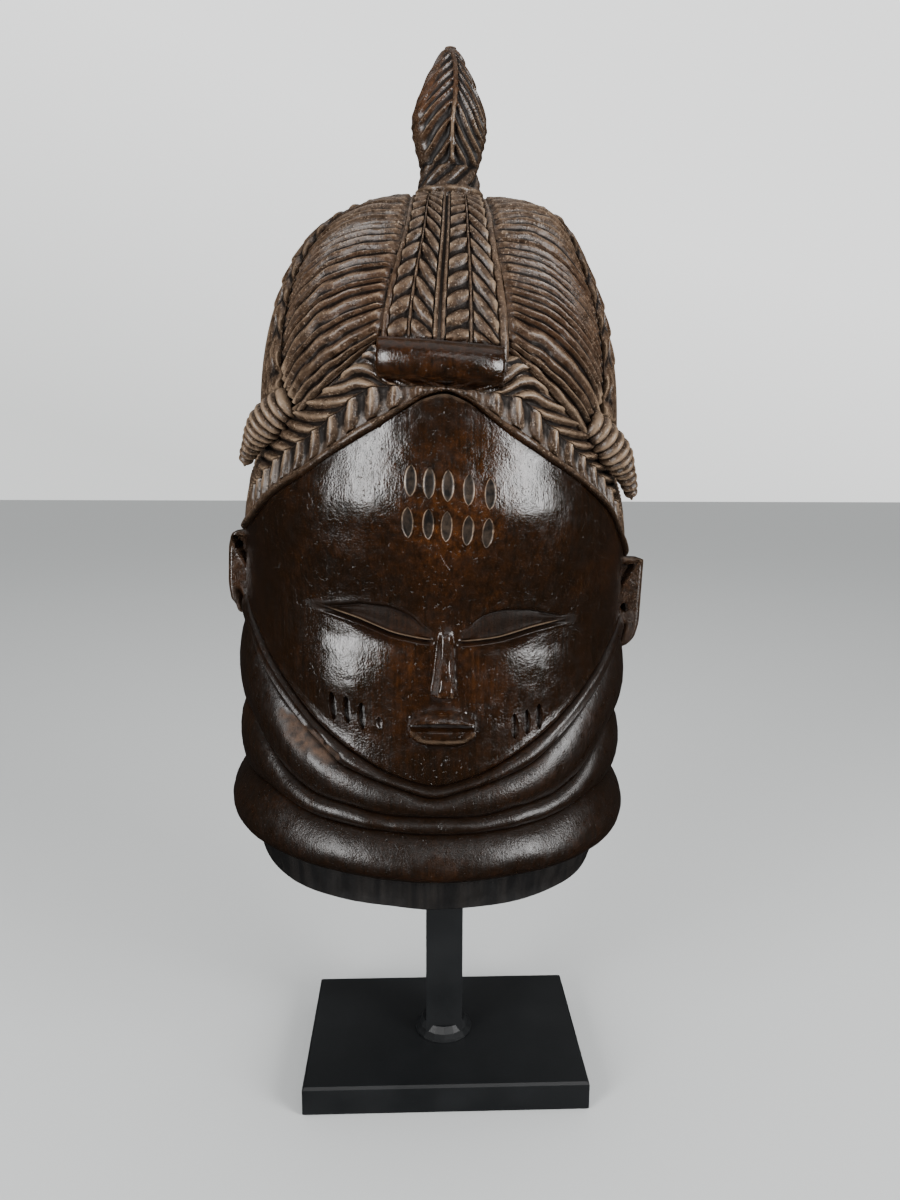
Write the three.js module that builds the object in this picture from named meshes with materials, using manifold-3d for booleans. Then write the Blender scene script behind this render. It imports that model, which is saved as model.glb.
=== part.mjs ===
// A carved wooden helmet mask standing on a square post with a flat steel foot.
// Millimetres, +Z up. The origin is the middle of the foot's underside, and the face looks towards -Y.
import * as THREE from 'three';
import Module from 'manifold-3d';

// Stand
const PLATE_WIDTH = 150;
const PLATE_DEPTH = 100;
const PLATE_THICKNESS = 16;
const PLATE_EDGE = 1.2;
const POST_SIDE = 20;
const WELD_RADIUS = 16;
const WELD_HEIGHT = 7;
const CLEARANCE = 0.3;

// Where the mask sits on its post: the rim's height, and a slight lean
const RIM_LIFT = 139;
const MASK_X = -9.5;
const MASK_LEAN = 1.5;

// The head's outline, as reach from the upright axis at heights above the rim
const SIDE_REACH = [[0, 94], [21, 94.8], [61, 94.8], [101, 95.3], [161, 95.9], [183, 93], [206, 88.6]];
const FRONT_REACH = [[0, 98], [21, 97], [61, 97], [101, 96], [131, 96], [161, 104], [183, 109], [206, 107]];
const BACK_REACH = [[0, 96], [21, 98], [61, 98], [101, 99], [131, 102], [161, 106], [206, 108]];
const PLAN_POWER = 2.2;
const DOME_BASE = 206;
const DOME_RISE = 116;
const DOME_POWER = 2.5;
// The crown is fuller over its right shoulder: middle x and z, spread and height
const SHOULDER = { x: 45, z: 305, wide: 18, high: 16, lift: 4.4 };

// Lines carved round the head, as heights at azimuths in degrees from the face's middle
const RIM = [[0, -2], [40, -1], [80, 3], [130, 1], [180, 0]];
const BAND_TOP = [[0, 14.6], [25, 15.8], [50, 16.4], [180, 16]];
const GROOVE_LOW = [[0, 36], [30, 39], [53, 45], [90, 41], [180, 41]];
const GROOVE_HIGH = [
  [0, 44], [10, 44], [22, 47], [31, 49], [41, 55], [52, 67], [63, 75], [80, 76], [180, 76],
];
const SCARF_FOOT = [
  [0, 53], [9, 57], [19, 62], [25, 66], [32, 74], [45, 91], [54, 102], [63, 113], [80, 117],
];
const JAW = [[0, 59], [10, 63], [20, 71], [30, 81], [40, 94], [50, 107], [60, 119], [75, 127]];
const HAIRLINE = [
  [0, 226], [4, 224], [9, 218.3], [14, 212], [20, 205.8], [31, 194.5], [37, 188.8], [43, 183.5], [50, 176.5],
  [60, 166], [78, 158],
];
// The hairline's own slant: lower on the side of -X
const HAIRLINE_TILT = [[0, 0], [12, 0.3], [24, 1.4], [34, 3.2], [46, 3.2], [60, 1.5], [78, 0]];
const LOBE_EDGE = [
  [0, 243], [14, 243], [19, 239.5], [24, 231], [30, 223.5], [36, 217.5], [44, 211.5], [60, 197], [80, 184],
];
const NAPE = [[50, 208], [60, 199], [70, 193], [80, 187], [86, 172], [95, 138], [110, 128], [180, 126]];
// Heights of the eyes at azimuths from the nose
const EYE_SLIT = [
  [0, 121.5], [4.9, 121.7], [9.2, 122.6], [13.5, 123.8], [18, 126], [22.6, 128.3], [27.3, 130],
  [31.7, 131.2], [60, 134],
];
const BROW = [
  [0, 124.2], [4.9, 127.4], [8.2, 131.8], [11.5, 134.7], [15.9, 136.3], [21.6, 136.4], [27.5, 134.7],
  [31.7, 133.9], [60, 137],
];
const BROW_TILT = 0.8;

// How far each part stands out from the head's outline, or lies in
const BAND_DEPTH = 4;
const BAND_TAPER = 1.6;
const RING_BULGES = [9, 4.5, 4.5, 3];
const GROOVE_DEPTH = 1.5;
const HAIR_GROUND = -6;
const HAIR_ROOT = -10.5;
const WALL = 13;
const CEILING = 292;

// Hair
const LOBE_STRANDS = 14;
const STRAND_STARTS = [[0, 0.01], [0.25, 0.15], [0.5, 0.32], [0.75, 0.52], [0.9, 0.7], [1, 0.92]];
const STRAND_END_AZIMUTHS = [
  [0, 36.5], [0.1, 40], [0.2, 44], [0.3, 46], [0.5, 48], [0.7, 50], [0.8, 53], [0.9, 58], [1, 66],
];
const STRAND_END_CLIMBS = [
  [0, 4], [0.1, 6.5], [0.2, 9.5], [0.3, 14], [0.5, 24], [0.7, 35], [0.8, 43], [0.9, 54], [1, 67],
];
const STRAND_LEAVING = [[0, 40], [0.12, 32], [0.3, 12], [0.5, 4], [1, 0]];
const STRAND_ARRIVING = [[0, 44], [0.2, 52], [0.4, 50], [0.6, 44], [0.8, 36], [1, 25]];
const STRAND_BEND = 0.34;
const BACK_STRANDS = 13;
const LEAF_DEPTH = 1.8;
const LEAF_LEAN = 0.06;
const PANEL_PAIRS = 9;
const BRAID_PAIRS = 8;
const HAIR_BAND_PAIRS = 10;
const BAR_LENGTH = 51;
const BAR_RADIUS = 8.3;
const BAR_BEND = 85;
const BAR_X = -2.5;
const BAR_REACH = 104;
const BAR_HEIGHT = 237;
const PANEL_MIDDLE = [[0, -0.9], [0.5, 0.4], [1, 0.6]];
const PANEL_RIB_SHIFT = [[0, -2.4], [0.5, -1.5], [1, -0.4]];
const PANEL_FROM = 19;
const PANEL_TO = 77;
const PANEL_WIDTHS = [[0, 26], [0.5, 18.2], [1, 15.8]];
const SIDE_BRAID_AZIMUTHS = [[0, 48.5], [0.25, 52], [0.45, 54], [0.65, 60], [0.85, 68], [1, 77]];
const SIDE_BRAID_CLIMBS = [[0, 8], [0.25, 25], [0.45, 39], [0.65, 54], [0.85, 68], [1, 80]];
const SIDE_BRAID_HALF = 6.5;
const BACK_TOP = [[48.5, 12], [52, 25], [54, 39], [60, 54], [68, 68], [77, 80], [110, 84]];
const BACK_FROM = 50;
const TUFT_RINGS = 8;
const TUFT_SIZES = [[0, 7.4], [0.2, 8.1], [0.42, 8.2], [0.55, 7], [0.72, 5.1], [0.88, 4], [1, 3.2]];
const TUFT_LEFT = [[-65, -73.5, 219], [-82, -67, 207], [-89, -51, 191]];
const TUFT_RIGHT = [[62, -76, 220], [82, -68, 207], [89.6, -52, 189]];
const FINIAL_TOP = 391.8;
const FINIAL_BASE = 312;
const FINIAL_NECK = 337;
const FINIAL_SLOPE = 16;
const FINIAL_Y = -8;
const FINIAL_FLATNESS = 0.86;
const FINIAL_X = [[312, 2], [325, 1.9], [337, 1.5], [350, 1.1], [365, 0.7], [391, 0.5]];
const FINIAL_PROFILE = [
  [312, 16.5], [322, 16], [327, 15.6], [331, 15], [334, 14.4], [338, 15], [345, 16.6], [352, 18.2],
  [357, 18.5], [362, 17.6], [368, 15.5], [375, 12.7], [382, 9.2], [389, 4.9], [391, 2.8],
];

// Face
const NOSE_AZIMUTH = 2;
const NOSE_HEIGHTS = [127.6, 120, 113, 105, 101, 99.4];
const NOSE_STAND = [
  [98.2, 0], [99.4, 7.4], [100.8, 9], [104.5, 8.5], [113, 6.2], [120, 3.8], [125, 1.8], [128, 0],
];
const NOSE_FOOT = [[98, 5.6], [101, 5.6], [105, 4.9], [113, 4.2], [122, 3.6], [128, 3.2]];
const NOSE_RIDGE = [[98, 3.1], [101, 2.9], [105, 2.1], [113, 1.8], [122, 1.5], [128, 1.3]];
const LIP_HALF = 14.4;
const FACE_REACH = 96;
const UPPER_LIP = { low: 87.4, high: 92.6, lowStand: 4.9, highStand: 2.4, sag: -1.2 };
const LOWER_LIP = { low: 76.8, high: 84.8, lowStand: 2.8, highStand: 5.2, sag: 1.6 };
const EAR_LEFT = [
  [156.4, 98], [154.6, 102.4], [146, 105], [131, 105.2], [121, 104], [117.5, 101.4], [113, 97.4],
];
const EAR_RIGHT = [
  [156.4, 104], [155.4, 108], [146, 108.2], [124, 107.8], [115, 105.6], [110.5, 102], [108.4, 98],
];
const EAR_INNER = 88;
const EAR_FRONT = -14;
const EAR_BACK = 4;
const EAR_POCKET = [[94.6, 153], [103, 152.4], [97, 138]];
const EAR_POCKET_DEPTH = 4.5;
const EAR_HOLE = { x: 98.5, z: 131, wide: 1.8, narrow: 1.2 };
const EAR_ROUND = { y: -12, z: 132.4, deep: 16, high: 26 };
const EAR_DROP = 4.5;
const SCAR_AZIMUTHS = [-7, -3, 1, 5, 10];
const SCAR_HEIGHTS = [188, 172];
const SCAR = { width: 4, length: 13, depth: 2.3, tilt: 0 };
const CHEEK_AZIMUTHS = [-27, -23, -19, 21, 24.5, 28];
const CHEEK_HEIGHT = 88;
const CHEEK_MARK = { width: 2.6, length: 13, depth: 1.8, tilt: -6 };

// Faces nearer than TOUCH are drawn apart by HAIR
const TOUCH = 0.002;
const HAIR = 0.02;

const WOOD_COLOUR = 0x2e1e15;
const STEEL_COLOUR = 0x1b1c1e;

const wasm = await Module();
wasm.setup();

const { abs, cos, sin, min, max, hypot, PI, sign } = Math;
const radians = THREE.MathUtils.degToRad;
const lerp = THREE.MathUtils.lerp;
const smoothstep = THREE.MathUtils.smoothstep;

// Smooth curve through (x, y) knots that never swings past a knot.
function through(knots, x) {
  const last = knots.length - 1;
  const at = THREE.MathUtils.clamp(x, knots[0][0], knots[last][0]);
  let i = 0;
  while (i < last - 1 && at > knots[i + 1][0]) {
    i += 1;
  }
  const slope = (k) => {
    if (k < 0 || k >= last) {
      return 0;
    }
    return (knots[k + 1][1] - knots[k][1]) / (knots[k + 1][0] - knots[k][0]);
  };
  const tangent = (k) => {
    const before = slope(k - 1);
    const after = slope(k);
    return before * after > 0 ? (2 * before * after) / (before + after) : 0;
  };
  const width = knots[i + 1][0] - knots[i][0];
  const t = (at - knots[i][0]) / width;
  const start = knots[i][1] * (1 + 2 * t) * (1 - t) ** 2 + knots[i + 1][1] * (3 - 2 * t) * t * t;
  return start + width * t * (1 - t) * (tangent(i) * (1 - t) - tangent(i + 1) * t);
}

// The head's reach at a height, from the axis to the outline in the direction (x, y).
function reach(x, y, height) {
  const low = min(height, DOME_BASE);
  const deep = through(y < 0 ? FRONT_REACH : BACK_REACH, low);
  const wide = through(SIDE_REACH, low);
  const size = hypot(x, y) || 1;
  return ((abs(x / size) / wide) ** PLAN_POWER + (abs(y / size) / deep) ** PLAN_POWER) ** (-1 / PLAN_POWER);
}

// The head's skin nearest to a point, raised by a lift along its normal.
function onHead(point, lift) {
  const out = hypot(point.x, point.y) || 1e-6;
  const radius = reach(point.x, point.y, point.z);
  const level = out / radius;
  const up = max(0, point.z - DOME_BASE) / DOME_RISE;
  const size = (level ** DOME_POWER + up ** DOME_POWER) ** (1 / DOME_POWER);
  const steep = (level / size) ** (DOME_POWER - 1) / radius;
  const flat = (up / size) ** (DOME_POWER - 1) / DOME_RISE;
  const normal = new THREE.Vector3((point.x / out) * steep, (point.y / out) * steep, flat).normalize();
  const height = up > 0 ? DOME_BASE + (up * DOME_RISE) / size : point.z;
  const aside = (point.x / size - SHOULDER.x) / SHOULDER.wide;
  const above = (height - SHOULDER.z) / SHOULDER.high;
  const swell = SHOULDER.lift * Math.exp(-(aside ** 2) - above ** 2);
  return new THREE.Vector3(point.x / size, point.y / size, height).addScaledVector(normal, lift + swell);
}

// The skin at an azimuth and a height.
function atHeight(azimuth, height, lift) {
  const a = radians(azimuth);
  const up = min(max(0, height - DOME_BASE) / DOME_RISE, 0.9999);
  const radius = reach(sin(a), -cos(a), height) * (1 - up ** DOME_POWER) ** (1 / DOME_POWER);
  return onHead(new THREE.Vector3(radius * sin(a), -radius * cos(a), height), lift);
}

// The skin along a meridian: below zero in mm down the wall, above it in degrees over the dome.
function onMeridian(azimuth, climb, lift) {
  if (climb <= 0) {
    return atHeight(azimuth, DOME_BASE + climb, lift);
  }
  const a = radians(azimuth);
  const e = radians(climb);
  const out = reach(sin(a), -cos(a), DOME_BASE) * cos(e);
  return onHead(new THREE.Vector3(out * sin(a), -out * cos(a), DOME_BASE + DOME_RISE * sin(e)), lift);
}

// The carver's slant: eyes, ears and tufts sit lower on the side of +X.
function slanted(point) {
  const grip = smoothstep(point.z, 76, 151) * (1 - smoothstep(point.z, 261, 331));
  return new THREE.Vector3(point.x, point.y, point.z - 0.045 * point.x * grip);
}

// A closed solid from points and triangles, turned so that its faces look out.
function solid(points, triangles) {
  let volume = 0;
  for (let i = 0; i < triangles.length; i += 3) {
    const [a, b, c] = [0, 1, 2].map((k) => points[triangles[i + k]]);
    volume += a.dot(b.clone().cross(c));
  }
  if (volume < 0) {
    triangles.reverse();
  }
  const vertProperties = new Float32Array(points.flatMap((p) => [p.x, p.y, p.z]));
  const triVerts = new Uint32Array(triangles);
  return new wasm.Manifold(new wasm.Mesh({ numProp: 3, vertProperties, triVerts }));
}

// A solid lofted through closed rings of equal count, with a point or a flat fan at each end.
function loft(rings, shaped = slanted) {
  const count = rings[0].length;
  const points = rings.flat();
  const triangles = [];
  for (let i = 0; i < rings.length - 1; i += 1) {
    for (let k = 0; k < count; k += 1) {
      const next = (k + 1) % count;
      const [a, b, c, d] = [i * count + k, i * count + next, (i + 1) * count + next, (i + 1) * count + k];
      triangles.push(a, b, c, a, c, d);
    }
  }
  for (const end of [0, rings.length - 1]) {
    const hub = points.length;
    const middle = new THREE.Vector3();
    rings[end].forEach((p) => middle.addScaledVector(p, 1 / count));
    points.push(middle);
    for (let k = 0; k < count; k += 1) {
      const pair = [end * count + k, end * count + ((k + 1) % count)];
      triangles.push(hub, ...(end === 0 ? pair.reverse() : pair));
    }
  }
  return solid(points.map(shaped), triangles);
}

// A carved patch: an outer skin over columns and rows, closed by a skin at its root and four walls.
function patch(columns, rows, outer, root) {
  const points = [];
  for (const surface of [outer, root]) {
    for (let i = 0; i <= rows; i += 1) {
      for (let k = 0; k <= columns; k += 1) {
        points.push(surface(k, i));
      }
    }
  }
  const layer = (columns + 1) * (rows + 1);
  const at = (k, i) => i * (columns + 1) + k;
  const triangles = [];
  for (let i = 0; i < rows; i += 1) {
    for (let k = 0; k < columns; k += 1) {
      const quad = [at(k, i), at(k + 1, i), at(k + 1, i + 1), at(k, i + 1)];
      const [a, b, c, d] = quad;
      const [e, f, g, h] = quad.map((index) => index + layer);
      triangles.push(a, b, c, a, c, d, e, g, f, e, h, g);
    }
  }
  const border = [];
  for (let k = 0; k < columns; k += 1) {
    border.push(at(k, 0));
  }
  for (let i = 0; i < rows; i += 1) {
    border.push(at(columns, i));
  }
  for (let k = columns; k > 0; k -= 1) {
    border.push(at(k, rows));
  }
  for (let i = rows; i > 0; i -= 1) {
    border.push(at(0, i));
  }
  border.forEach((a, n) => {
    const b = border[(n + 1) % border.length];
    triangles.push(a, a + layer, b + layer, a, b + layer, b);
  });
  return solid(points.map(slanted), triangles);
}

// A three.js geometry as a solid.
function fromGeometry(geometry) {
  const places = geometry.attributes.position;
  const index = geometry.index ? Array.from(geometry.index.array) : [...Array(places.count).keys()];
  const points = [];
  const known = new Map();
  const merged = index.map((n) => {
    const point = new THREE.Vector3().fromBufferAttribute(places, n);
    const key = point.toArray().map((v) => Math.round(v * 1e4)).join();
    if (!known.has(key)) {
      known.set(key, points.push(point) - 1);
    }
    return known.get(key);
  });
  const triangles = [];
  for (let i = 0; i < merged.length; i += 3) {
    const [a, b, c] = merged.slice(i, i + 3);
    if (a !== b && b !== c && c !== a) {
      triangles.push(a, b, c);
    }
  }
  return solid(points, triangles);
}

// The outer surface alone, without the small shut pockets that crossing carvings leave inside the wood.
function outerShell({ vertProperties, triVerts }) {
  const owner = Uint32Array.from({ length: vertProperties.length / 3 }, (_, n) => n);
  const root = (n) => {
    let at = n;
    while (owner[at] !== at) {
      at = owner[at];
    }
    return at;
  };
  for (let i = 0; i < triVerts.length; i += 3) {
    owner[root(triVerts[i + 1])] = root(triVerts[i]);
    owner[root(triVerts[i + 2])] = root(triVerts[i]);
  }
  const sizes = new Map();
  triVerts.forEach((n) => sizes.set(root(n), (sizes.get(root(n)) || 0) + 1));
  const [outer] = [...sizes.entries()].sort((a, b) => b[1] - a[1])[0];
  return triVerts.filter((n) => root(n) === outer);
}

// Where two carved faces just touch, each corner there is drawn a hair into the wood.
function drawnApart(geometry) {
  const { position, normal } = geometry.attributes;
  const corners = [...new Set(geometry.index.array)];
  const places = corners.map((n) => new THREE.Vector3().fromBufferAttribute(position, n));
  const near = (a, b) => a !== b && places[a].distanceToSquared(places[b]) < TOUCH ** 2;
  const touching = corners.filter((_, a) => places.some((_place, b) => near(a, b)));
  for (const n of touching) {
    const inward = new THREE.Vector3().fromBufferAttribute(normal, n).multiplyScalar(-HAIR);
    position.setXYZ(n, position.getX(n) + inward.x, position.getY(n) + inward.y, position.getZ(n) + inward.z);
  }
  return geometry;
}

function toGeometry(body) {
  const mesh = body.getMesh();
  const geometry = new THREE.BufferGeometry();
  geometry.setAttribute('position', new THREE.BufferAttribute(mesh.vertProperties, 3));
  geometry.setIndex(new THREE.BufferAttribute(outerShell(mesh), 1));
  geometry.computeVertexNormals();
  return drawnApart(geometry);
}

// Head, neck rings and face

// Azimuths of the head's columns: close together over the face, wider behind.
function headColumns() {
  const half = [5, 10, 16, 23, 31, 40, 50, 61, 75, 94, 114, 136, 158];
  return [...half.map((a) => -a).reverse(), 0, ...half, 180];
}

// The neck's rows from the rim up: a rough band, a heavy ring, two lighter rings and the scarf under the jaw.
function neckRows(azimuth) {
  const a = abs(azimuth);
  const lines = [BAND_TOP, GROOVE_LOW, GROOVE_HIGH, SCARF_FOOT, JAW].map((line) => through(line, a));
  const rows = [[through(RIM, a), -BAND_DEPTH - BAND_TAPER], [lines[0] - 1.5, -BAND_DEPTH]];
  const shares = [[0.05, 0.3, 0.6, 0.87], [0.18, 0.5, 0.82], [0.18, 0.5, 0.82], [0.3, 0.7]];
  shares.forEach((steps, ring) => {
    const from = lines[ring];
    const to = lines[ring + 1] - (ring === 3 ? 1.5 : 0);
    for (const s of steps) {
      const fullness = ring === 0 ? s ** 0.75 : s;
      rows.push([lerp(from, to, s), RING_BULGES[ring] * sin(PI * fullness) ** 0.6]);
    }
    rows.push([to, -GROOVE_DEPTH]);
  });
  return rows;
}

// The face's rows: jaw edge, cheeks, the eye under its brow, and the high forehead.
function faceRows(azimuth) {
  const a = abs(azimuth);
  const jaw = through(JAW, a);
  const fromNose = azimuth - NOSE_AZIMUTH;
  const slit = through(EYE_SLIT, abs(fromNose));
  const brow = through(BROW, abs(fromNose)) + BROW_TILT * Math.tanh(fromNose / 6);
  const hairline = hairlineAt(azimuth);
  const open = smoothstep(abs(fromNose), 2.6, 5) * (1 - smoothstep(abs(fromNose), 28.5, 33.5));
  const rows = [[jaw + 1, 1.6 * smoothstep(a, 0, 20)]];
  for (const s of [0.2, 0.5, 0.82]) {
    rows.push([lerp(jaw + 1, slit - 1.5, s), 0]);
  }
  rows.push([slit - 1, 0.3 * open], [slit + 0.3, -2.8 * open], [slit + 1.6, -0.6 * open]);
  rows.push([lerp(slit + 1.6, brow, 0.6), -1.4 * open], [brow, -2.8 * open], [brow + 1.7, 0.2 * open]);
  for (const s of [0.25, 0.5, 0.75]) {
    rows.push([lerp(brow + 1.7, hairline, s), 0]);
  }
  rows.push([hairline - 0.5, 0], [hairline + 0.5, HAIR_GROUND]);
  const nape = a > 80 ? through(NAPE, a) : hairline;
  return rows.map(([height, lift]) => [height, height > nape + 1 ? HAIR_GROUND : lift]);
}

// Height of the hairline, which is lower on one side.
function hairlineAt(azimuth) {
  return through(HAIRLINE, abs(azimuth)) + sign(azimuth) * through(HAIRLINE_TILT, abs(azimuth));
}

// The head's ground above the hairline, up to the crown.
function crownRows(azimuth) {
  const from = hairlineAt(azimuth) + 0.5;
  const top = DOME_BASE + DOME_RISE - 0.5;
  return [0.2, 0.42, 0.62, 0.8, 0.93, 0.99].map((s) => [lerp(from, top, s), HAIR_GROUND]);
}

function head() {
  const columns = headColumns().map((azimuth) => {
    const rows = [...neckRows(azimuth), ...faceRows(azimuth), ...crownRows(azimuth)];
    return rows.map(([height, lift]) => atHeight(azimuth, height, lift));
  });
  return loft(columns[0].map((_, row) => columns.map((column) => column[row])));
}

// The hollow that the wearer's head enters, with a flat ceiling over the post.
function hollow() {
  const count = 16;
  const round = [...Array(count).keys()].map((k) => (k * 360) / count);
  const rings = [-6, 50, 110, 160, DOME_BASE].map((height) => {
    return round.map((azimuth) => atHeight(azimuth, max(height, 0), -WALL).setZ(height));
  });
  for (const climb of [16, 30, 42]) {
    const ring = round.map((azimuth) => onMeridian(azimuth, climb, -WALL));
    rings.push(ring.map((p) => p.setZ(min(p.z, CEILING - 0.5))));
  }
  const last = rings[rings.length - 1];
  rings.push(last.map((p) => new THREE.Vector3(p.x * 0.72, p.y * 0.72, CEILING)));
  return loft(rings, (point) => point);
}

// Narrow nose with a flat ridge, wider at the nostrils.
function nose() {
  const inside = 5;
  const rings = NOSE_HEIGHTS.map((height) => {
    const skin = atHeight(NOSE_AZIMUTH, height, 0);
    const [foot, ridge, stand] = [NOSE_FOOT, NOSE_RIDGE, NOSE_STAND].map((knots) => through(knots, height));
    const left = [[-foot, inside], [-foot, -0.3], [-ridge, -stand]];
    const right = left.map(([x, y]) => [-x, y]).reverse();
    return [...left, ...right].map(([x, y]) => new THREE.Vector3(skin.x + x, skin.y + y, height));
  });
  return loft(rings);
}

// One flat lip with squared edges and a slanted front, curved in plan with the face.
function lip({ low, high, lowStand, highStand, sag }) {
  const steps = 6;
  const inside = 5;
  const rings = [...Array(steps + 1).keys()].map((k) => {
    const u = (2 * k) / steps - 1;
    const half = ((high - low) / 2) * (1 - 0.7 * abs(u) ** 3);
    const middle = (low + high) / 2 + sag * u * u;
    const skin = atHeight(NOSE_AZIMUTH + THREE.MathUtils.radToDeg((u * LIP_HALF) / FACE_REACH), middle, 0);
    const profile = [[inside, -half], [-lowStand, -half], [-highStand, half], [inside, half]];
    return profile.map(([y, z]) => new THREE.Vector3(skin.x, skin.y + y, middle + z));
  });
  return loft(rings);
}

// A lens-shaped nick, cut with two strokes of a knife.
function nick(azimuth, height, { width, length, depth, tilt }) {
  const geometry = new THREE.OctahedronGeometry(1);
  geometry.scale(width / 2, depth, length / 2);
  geometry.rotateY(radians(tilt * sign(azimuth)));
  geometry.rotateZ(radians(azimuth));
  const place = atHeight(azimuth, height, 0);
  geometry.translate(place.x, place.y, slanted(place).z);
  return fromGeometry(geometry);
}

// Ear standing out sideways: flat in front, round behind, with a three-cornered hollow and a small hole.
function ear(side) {
  const shape = (corners) => new THREE.Shape(corners.map(([x, z]) => new THREE.Vector2(x, z)));
  const edge = (side < 0 ? EAR_LEFT : EAR_RIGHT).map(([height, x]) => [x, height]);
  const outline = [[EAR_INNER, edge[0][1]], ...edge, [EAR_INNER, edge[edge.length - 1][1]]];
  const slab = (corners, depth) => new THREE.ExtrudeGeometry(shape(corners), { depth, bevelEnabled: false });
  const plate = slab(outline, EAR_BACK - EAR_FRONT);
  const pocket = slab(EAR_POCKET, EAR_POCKET_DEPTH);
  const hole = new THREE.CylinderGeometry(EAR_HOLE.wide, EAR_HOLE.narrow, 8, 5);
  const round = new THREE.CylinderGeometry(1, 1, 40, 14);
  for (const piece of [plate, pocket]) {
    piece.rotateX(PI / 2);
  }
  round.rotateZ(PI / 2);
  round.scale(1, EAR_ROUND.deep, EAR_ROUND.high);
  plate.translate(0, EAR_BACK, 0);
  pocket.translate(0, EAR_FRONT + EAR_POCKET_DEPTH, 0);
  hole.translate(EAR_HOLE.x, EAR_FRONT, EAR_HOLE.z);
  round.translate(EAR_INNER + 10, EAR_ROUND.y, EAR_ROUND.z);
  const [body, behind, hollowed, pierced] = [plate, round, pocket, hole].map((geometry) => {
    geometry.scale(side, 1, 1);
    geometry.translate(0, 0, -EAR_DROP * side);
    return fromGeometry(geometry);
  });
  return body.intersect(behind).subtract(hollowed).subtract(pierced);
}

// Hair

// Zigzag between a groove and a ridge for a row or column number.
function comb(n, height) {
  return n % 2 === 0 ? -height : 0;
}

// Direction along the skin that runs outward and falls by an angle as seen from the front.
function facing(side, degrees, at) {
  const normal = onHead(at, 1).sub(onHead(at, 0));
  const [x, z] = [side * cos(radians(degrees)), -sin(radians(degrees))];
  return new THREE.Vector3(x, -(normal.x * x + normal.z * z) / normal.y, z);
}

// Ridged strands of a front lobe: v names the strand from the lowest up, u runs from the panel to its foot.
function lobe(side) {
  const steps = 4;
  const rows = 2 * LOBE_STRANDS;
  const strand = (u, v) => {
    const start = panelPoint(through(STRAND_STARTS, v), side * 1.04, 0);
    const end = onMeridian(side * through(STRAND_END_AZIMUTHS, v), through(STRAND_END_CLIMBS, v), 0);
    const handle = start.distanceTo(end) * STRAND_BEND;
    const first = start.clone().addScaledVector(facing(side, through(STRAND_LEAVING, v), start), handle);
    const second = end.clone().addScaledVector(facing(side, through(STRAND_ARRIVING, v), end), -handle);
    return new THREE.CubicBezierCurve3(start, first, second, end).getPoint(u);
  };
  const place = (k, i, lift) => onHead(strand(k / steps, i / rows), lift);
  const outer = (k, i) => {
    const swell = sin((PI * k) / steps);
    return place(k, i, comb(i, 0.8 + 1.1 * swell) + 2.2 * swell * (1 - (i / rows) ** 3) - 0.4);
  };
  return patch(steps, rows, outer, (k, i) => place(k, i, HAIR_ROOT));
}

// Upright strands all over the back of the head, gathered at the crown.
function backHair() {
  const columns = 2 * BACK_STRANDS;
  const rows = 6;
  const place = (k, i, lift) => {
    const azimuth = lerp(BACK_FROM, 360 - BACK_FROM, k / columns);
    const fromFace = min(azimuth, 360 - azimuth);
    const foot = through(NAPE, fromFace) - DOME_BASE;
    const top = through(BACK_TOP, fromFace);
    const climbs = [foot, foot * 0.5, 0, 0.3 * top, 0.58 * top, 0.82 * top, top];
    return onMeridian(azimuth, climbs[i], lift);
  };
  return patch(columns, rows, (k, i) => place(k, i, comb(k, 2) - 0.2), (k, i) => place(k, i, HAIR_ROOT));
}

// Point on the front panel: t climbs from the bar to the crown, w runs from edge to edge.
function panelPoint(t, w, lift) {
  const middle = onMeridian(0, lerp(PANEL_FROM, PANEL_TO, t), 0);
  middle.x += through(PANEL_MIDDLE, t) + w * through(PANEL_WIDTHS, t);
  middle.x += (1 - w * w) * through(PANEL_RIB_SHIFT, t);
  return onHead(middle, lift);
}

// A carved band along a surface. Each column has a place w across it and a lift, and a leaf column
// is cut into leaves that lean forward to the plait's middle line by its lean.
function band(surface, pairs, columns) {
  const rows = 2 * pairs;
  const place = ([w, , lean], i, lift) => {
    const t = i / rows;
    return surface(min(t + lean * 4 * t * (1 - t), 1), w, lift);
  };
  const carved = ([, lift, , leaf], i) => lift + (leaf ? comb(i, LEAF_DEPTH) : 0);
  const outer = (k, i) => place(columns[k], i, carved(columns[k], i));
  return patch(columns.length - 1, rows, outer, (k, i) => place(columns[k], i, HAIR_ROOT));
}

// Columns of one plait from w = from to w = to: an edge, leaves, the middle line, leaves and an edge.
function plait(from, to, stand, lean) {
  const column = (share, lift, push, leaf) => [lerp(from, to, share), lift, push, leaf];
  return [
    column(0, stand - 1.2, 0, false),
    column(0.25, stand, lean / 2, true),
    column(0.5, stand - 1, lean, false),
    column(0.75, stand, lean / 2, true),
    column(1, stand - 1.2, 0, false),
  ];
}

// Front panel: two plaits between raised borders and a middle rib.
function panel() {
  const border = (side) => [[side * 1.04, -2.5, 0, false], [side * 0.96, 0.8, 0, false]];
  const columns = [...border(-1), ...plait(-0.88, -0.08, 0.4, LEAF_LEAN), [0, -0.3, 0, false]];
  columns.push(...plait(0.08, 0.88, 0.4, LEAF_LEAN), ...border(1).reverse());
  return band(panelPoint, PANEL_PAIRS, columns);
}

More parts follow.
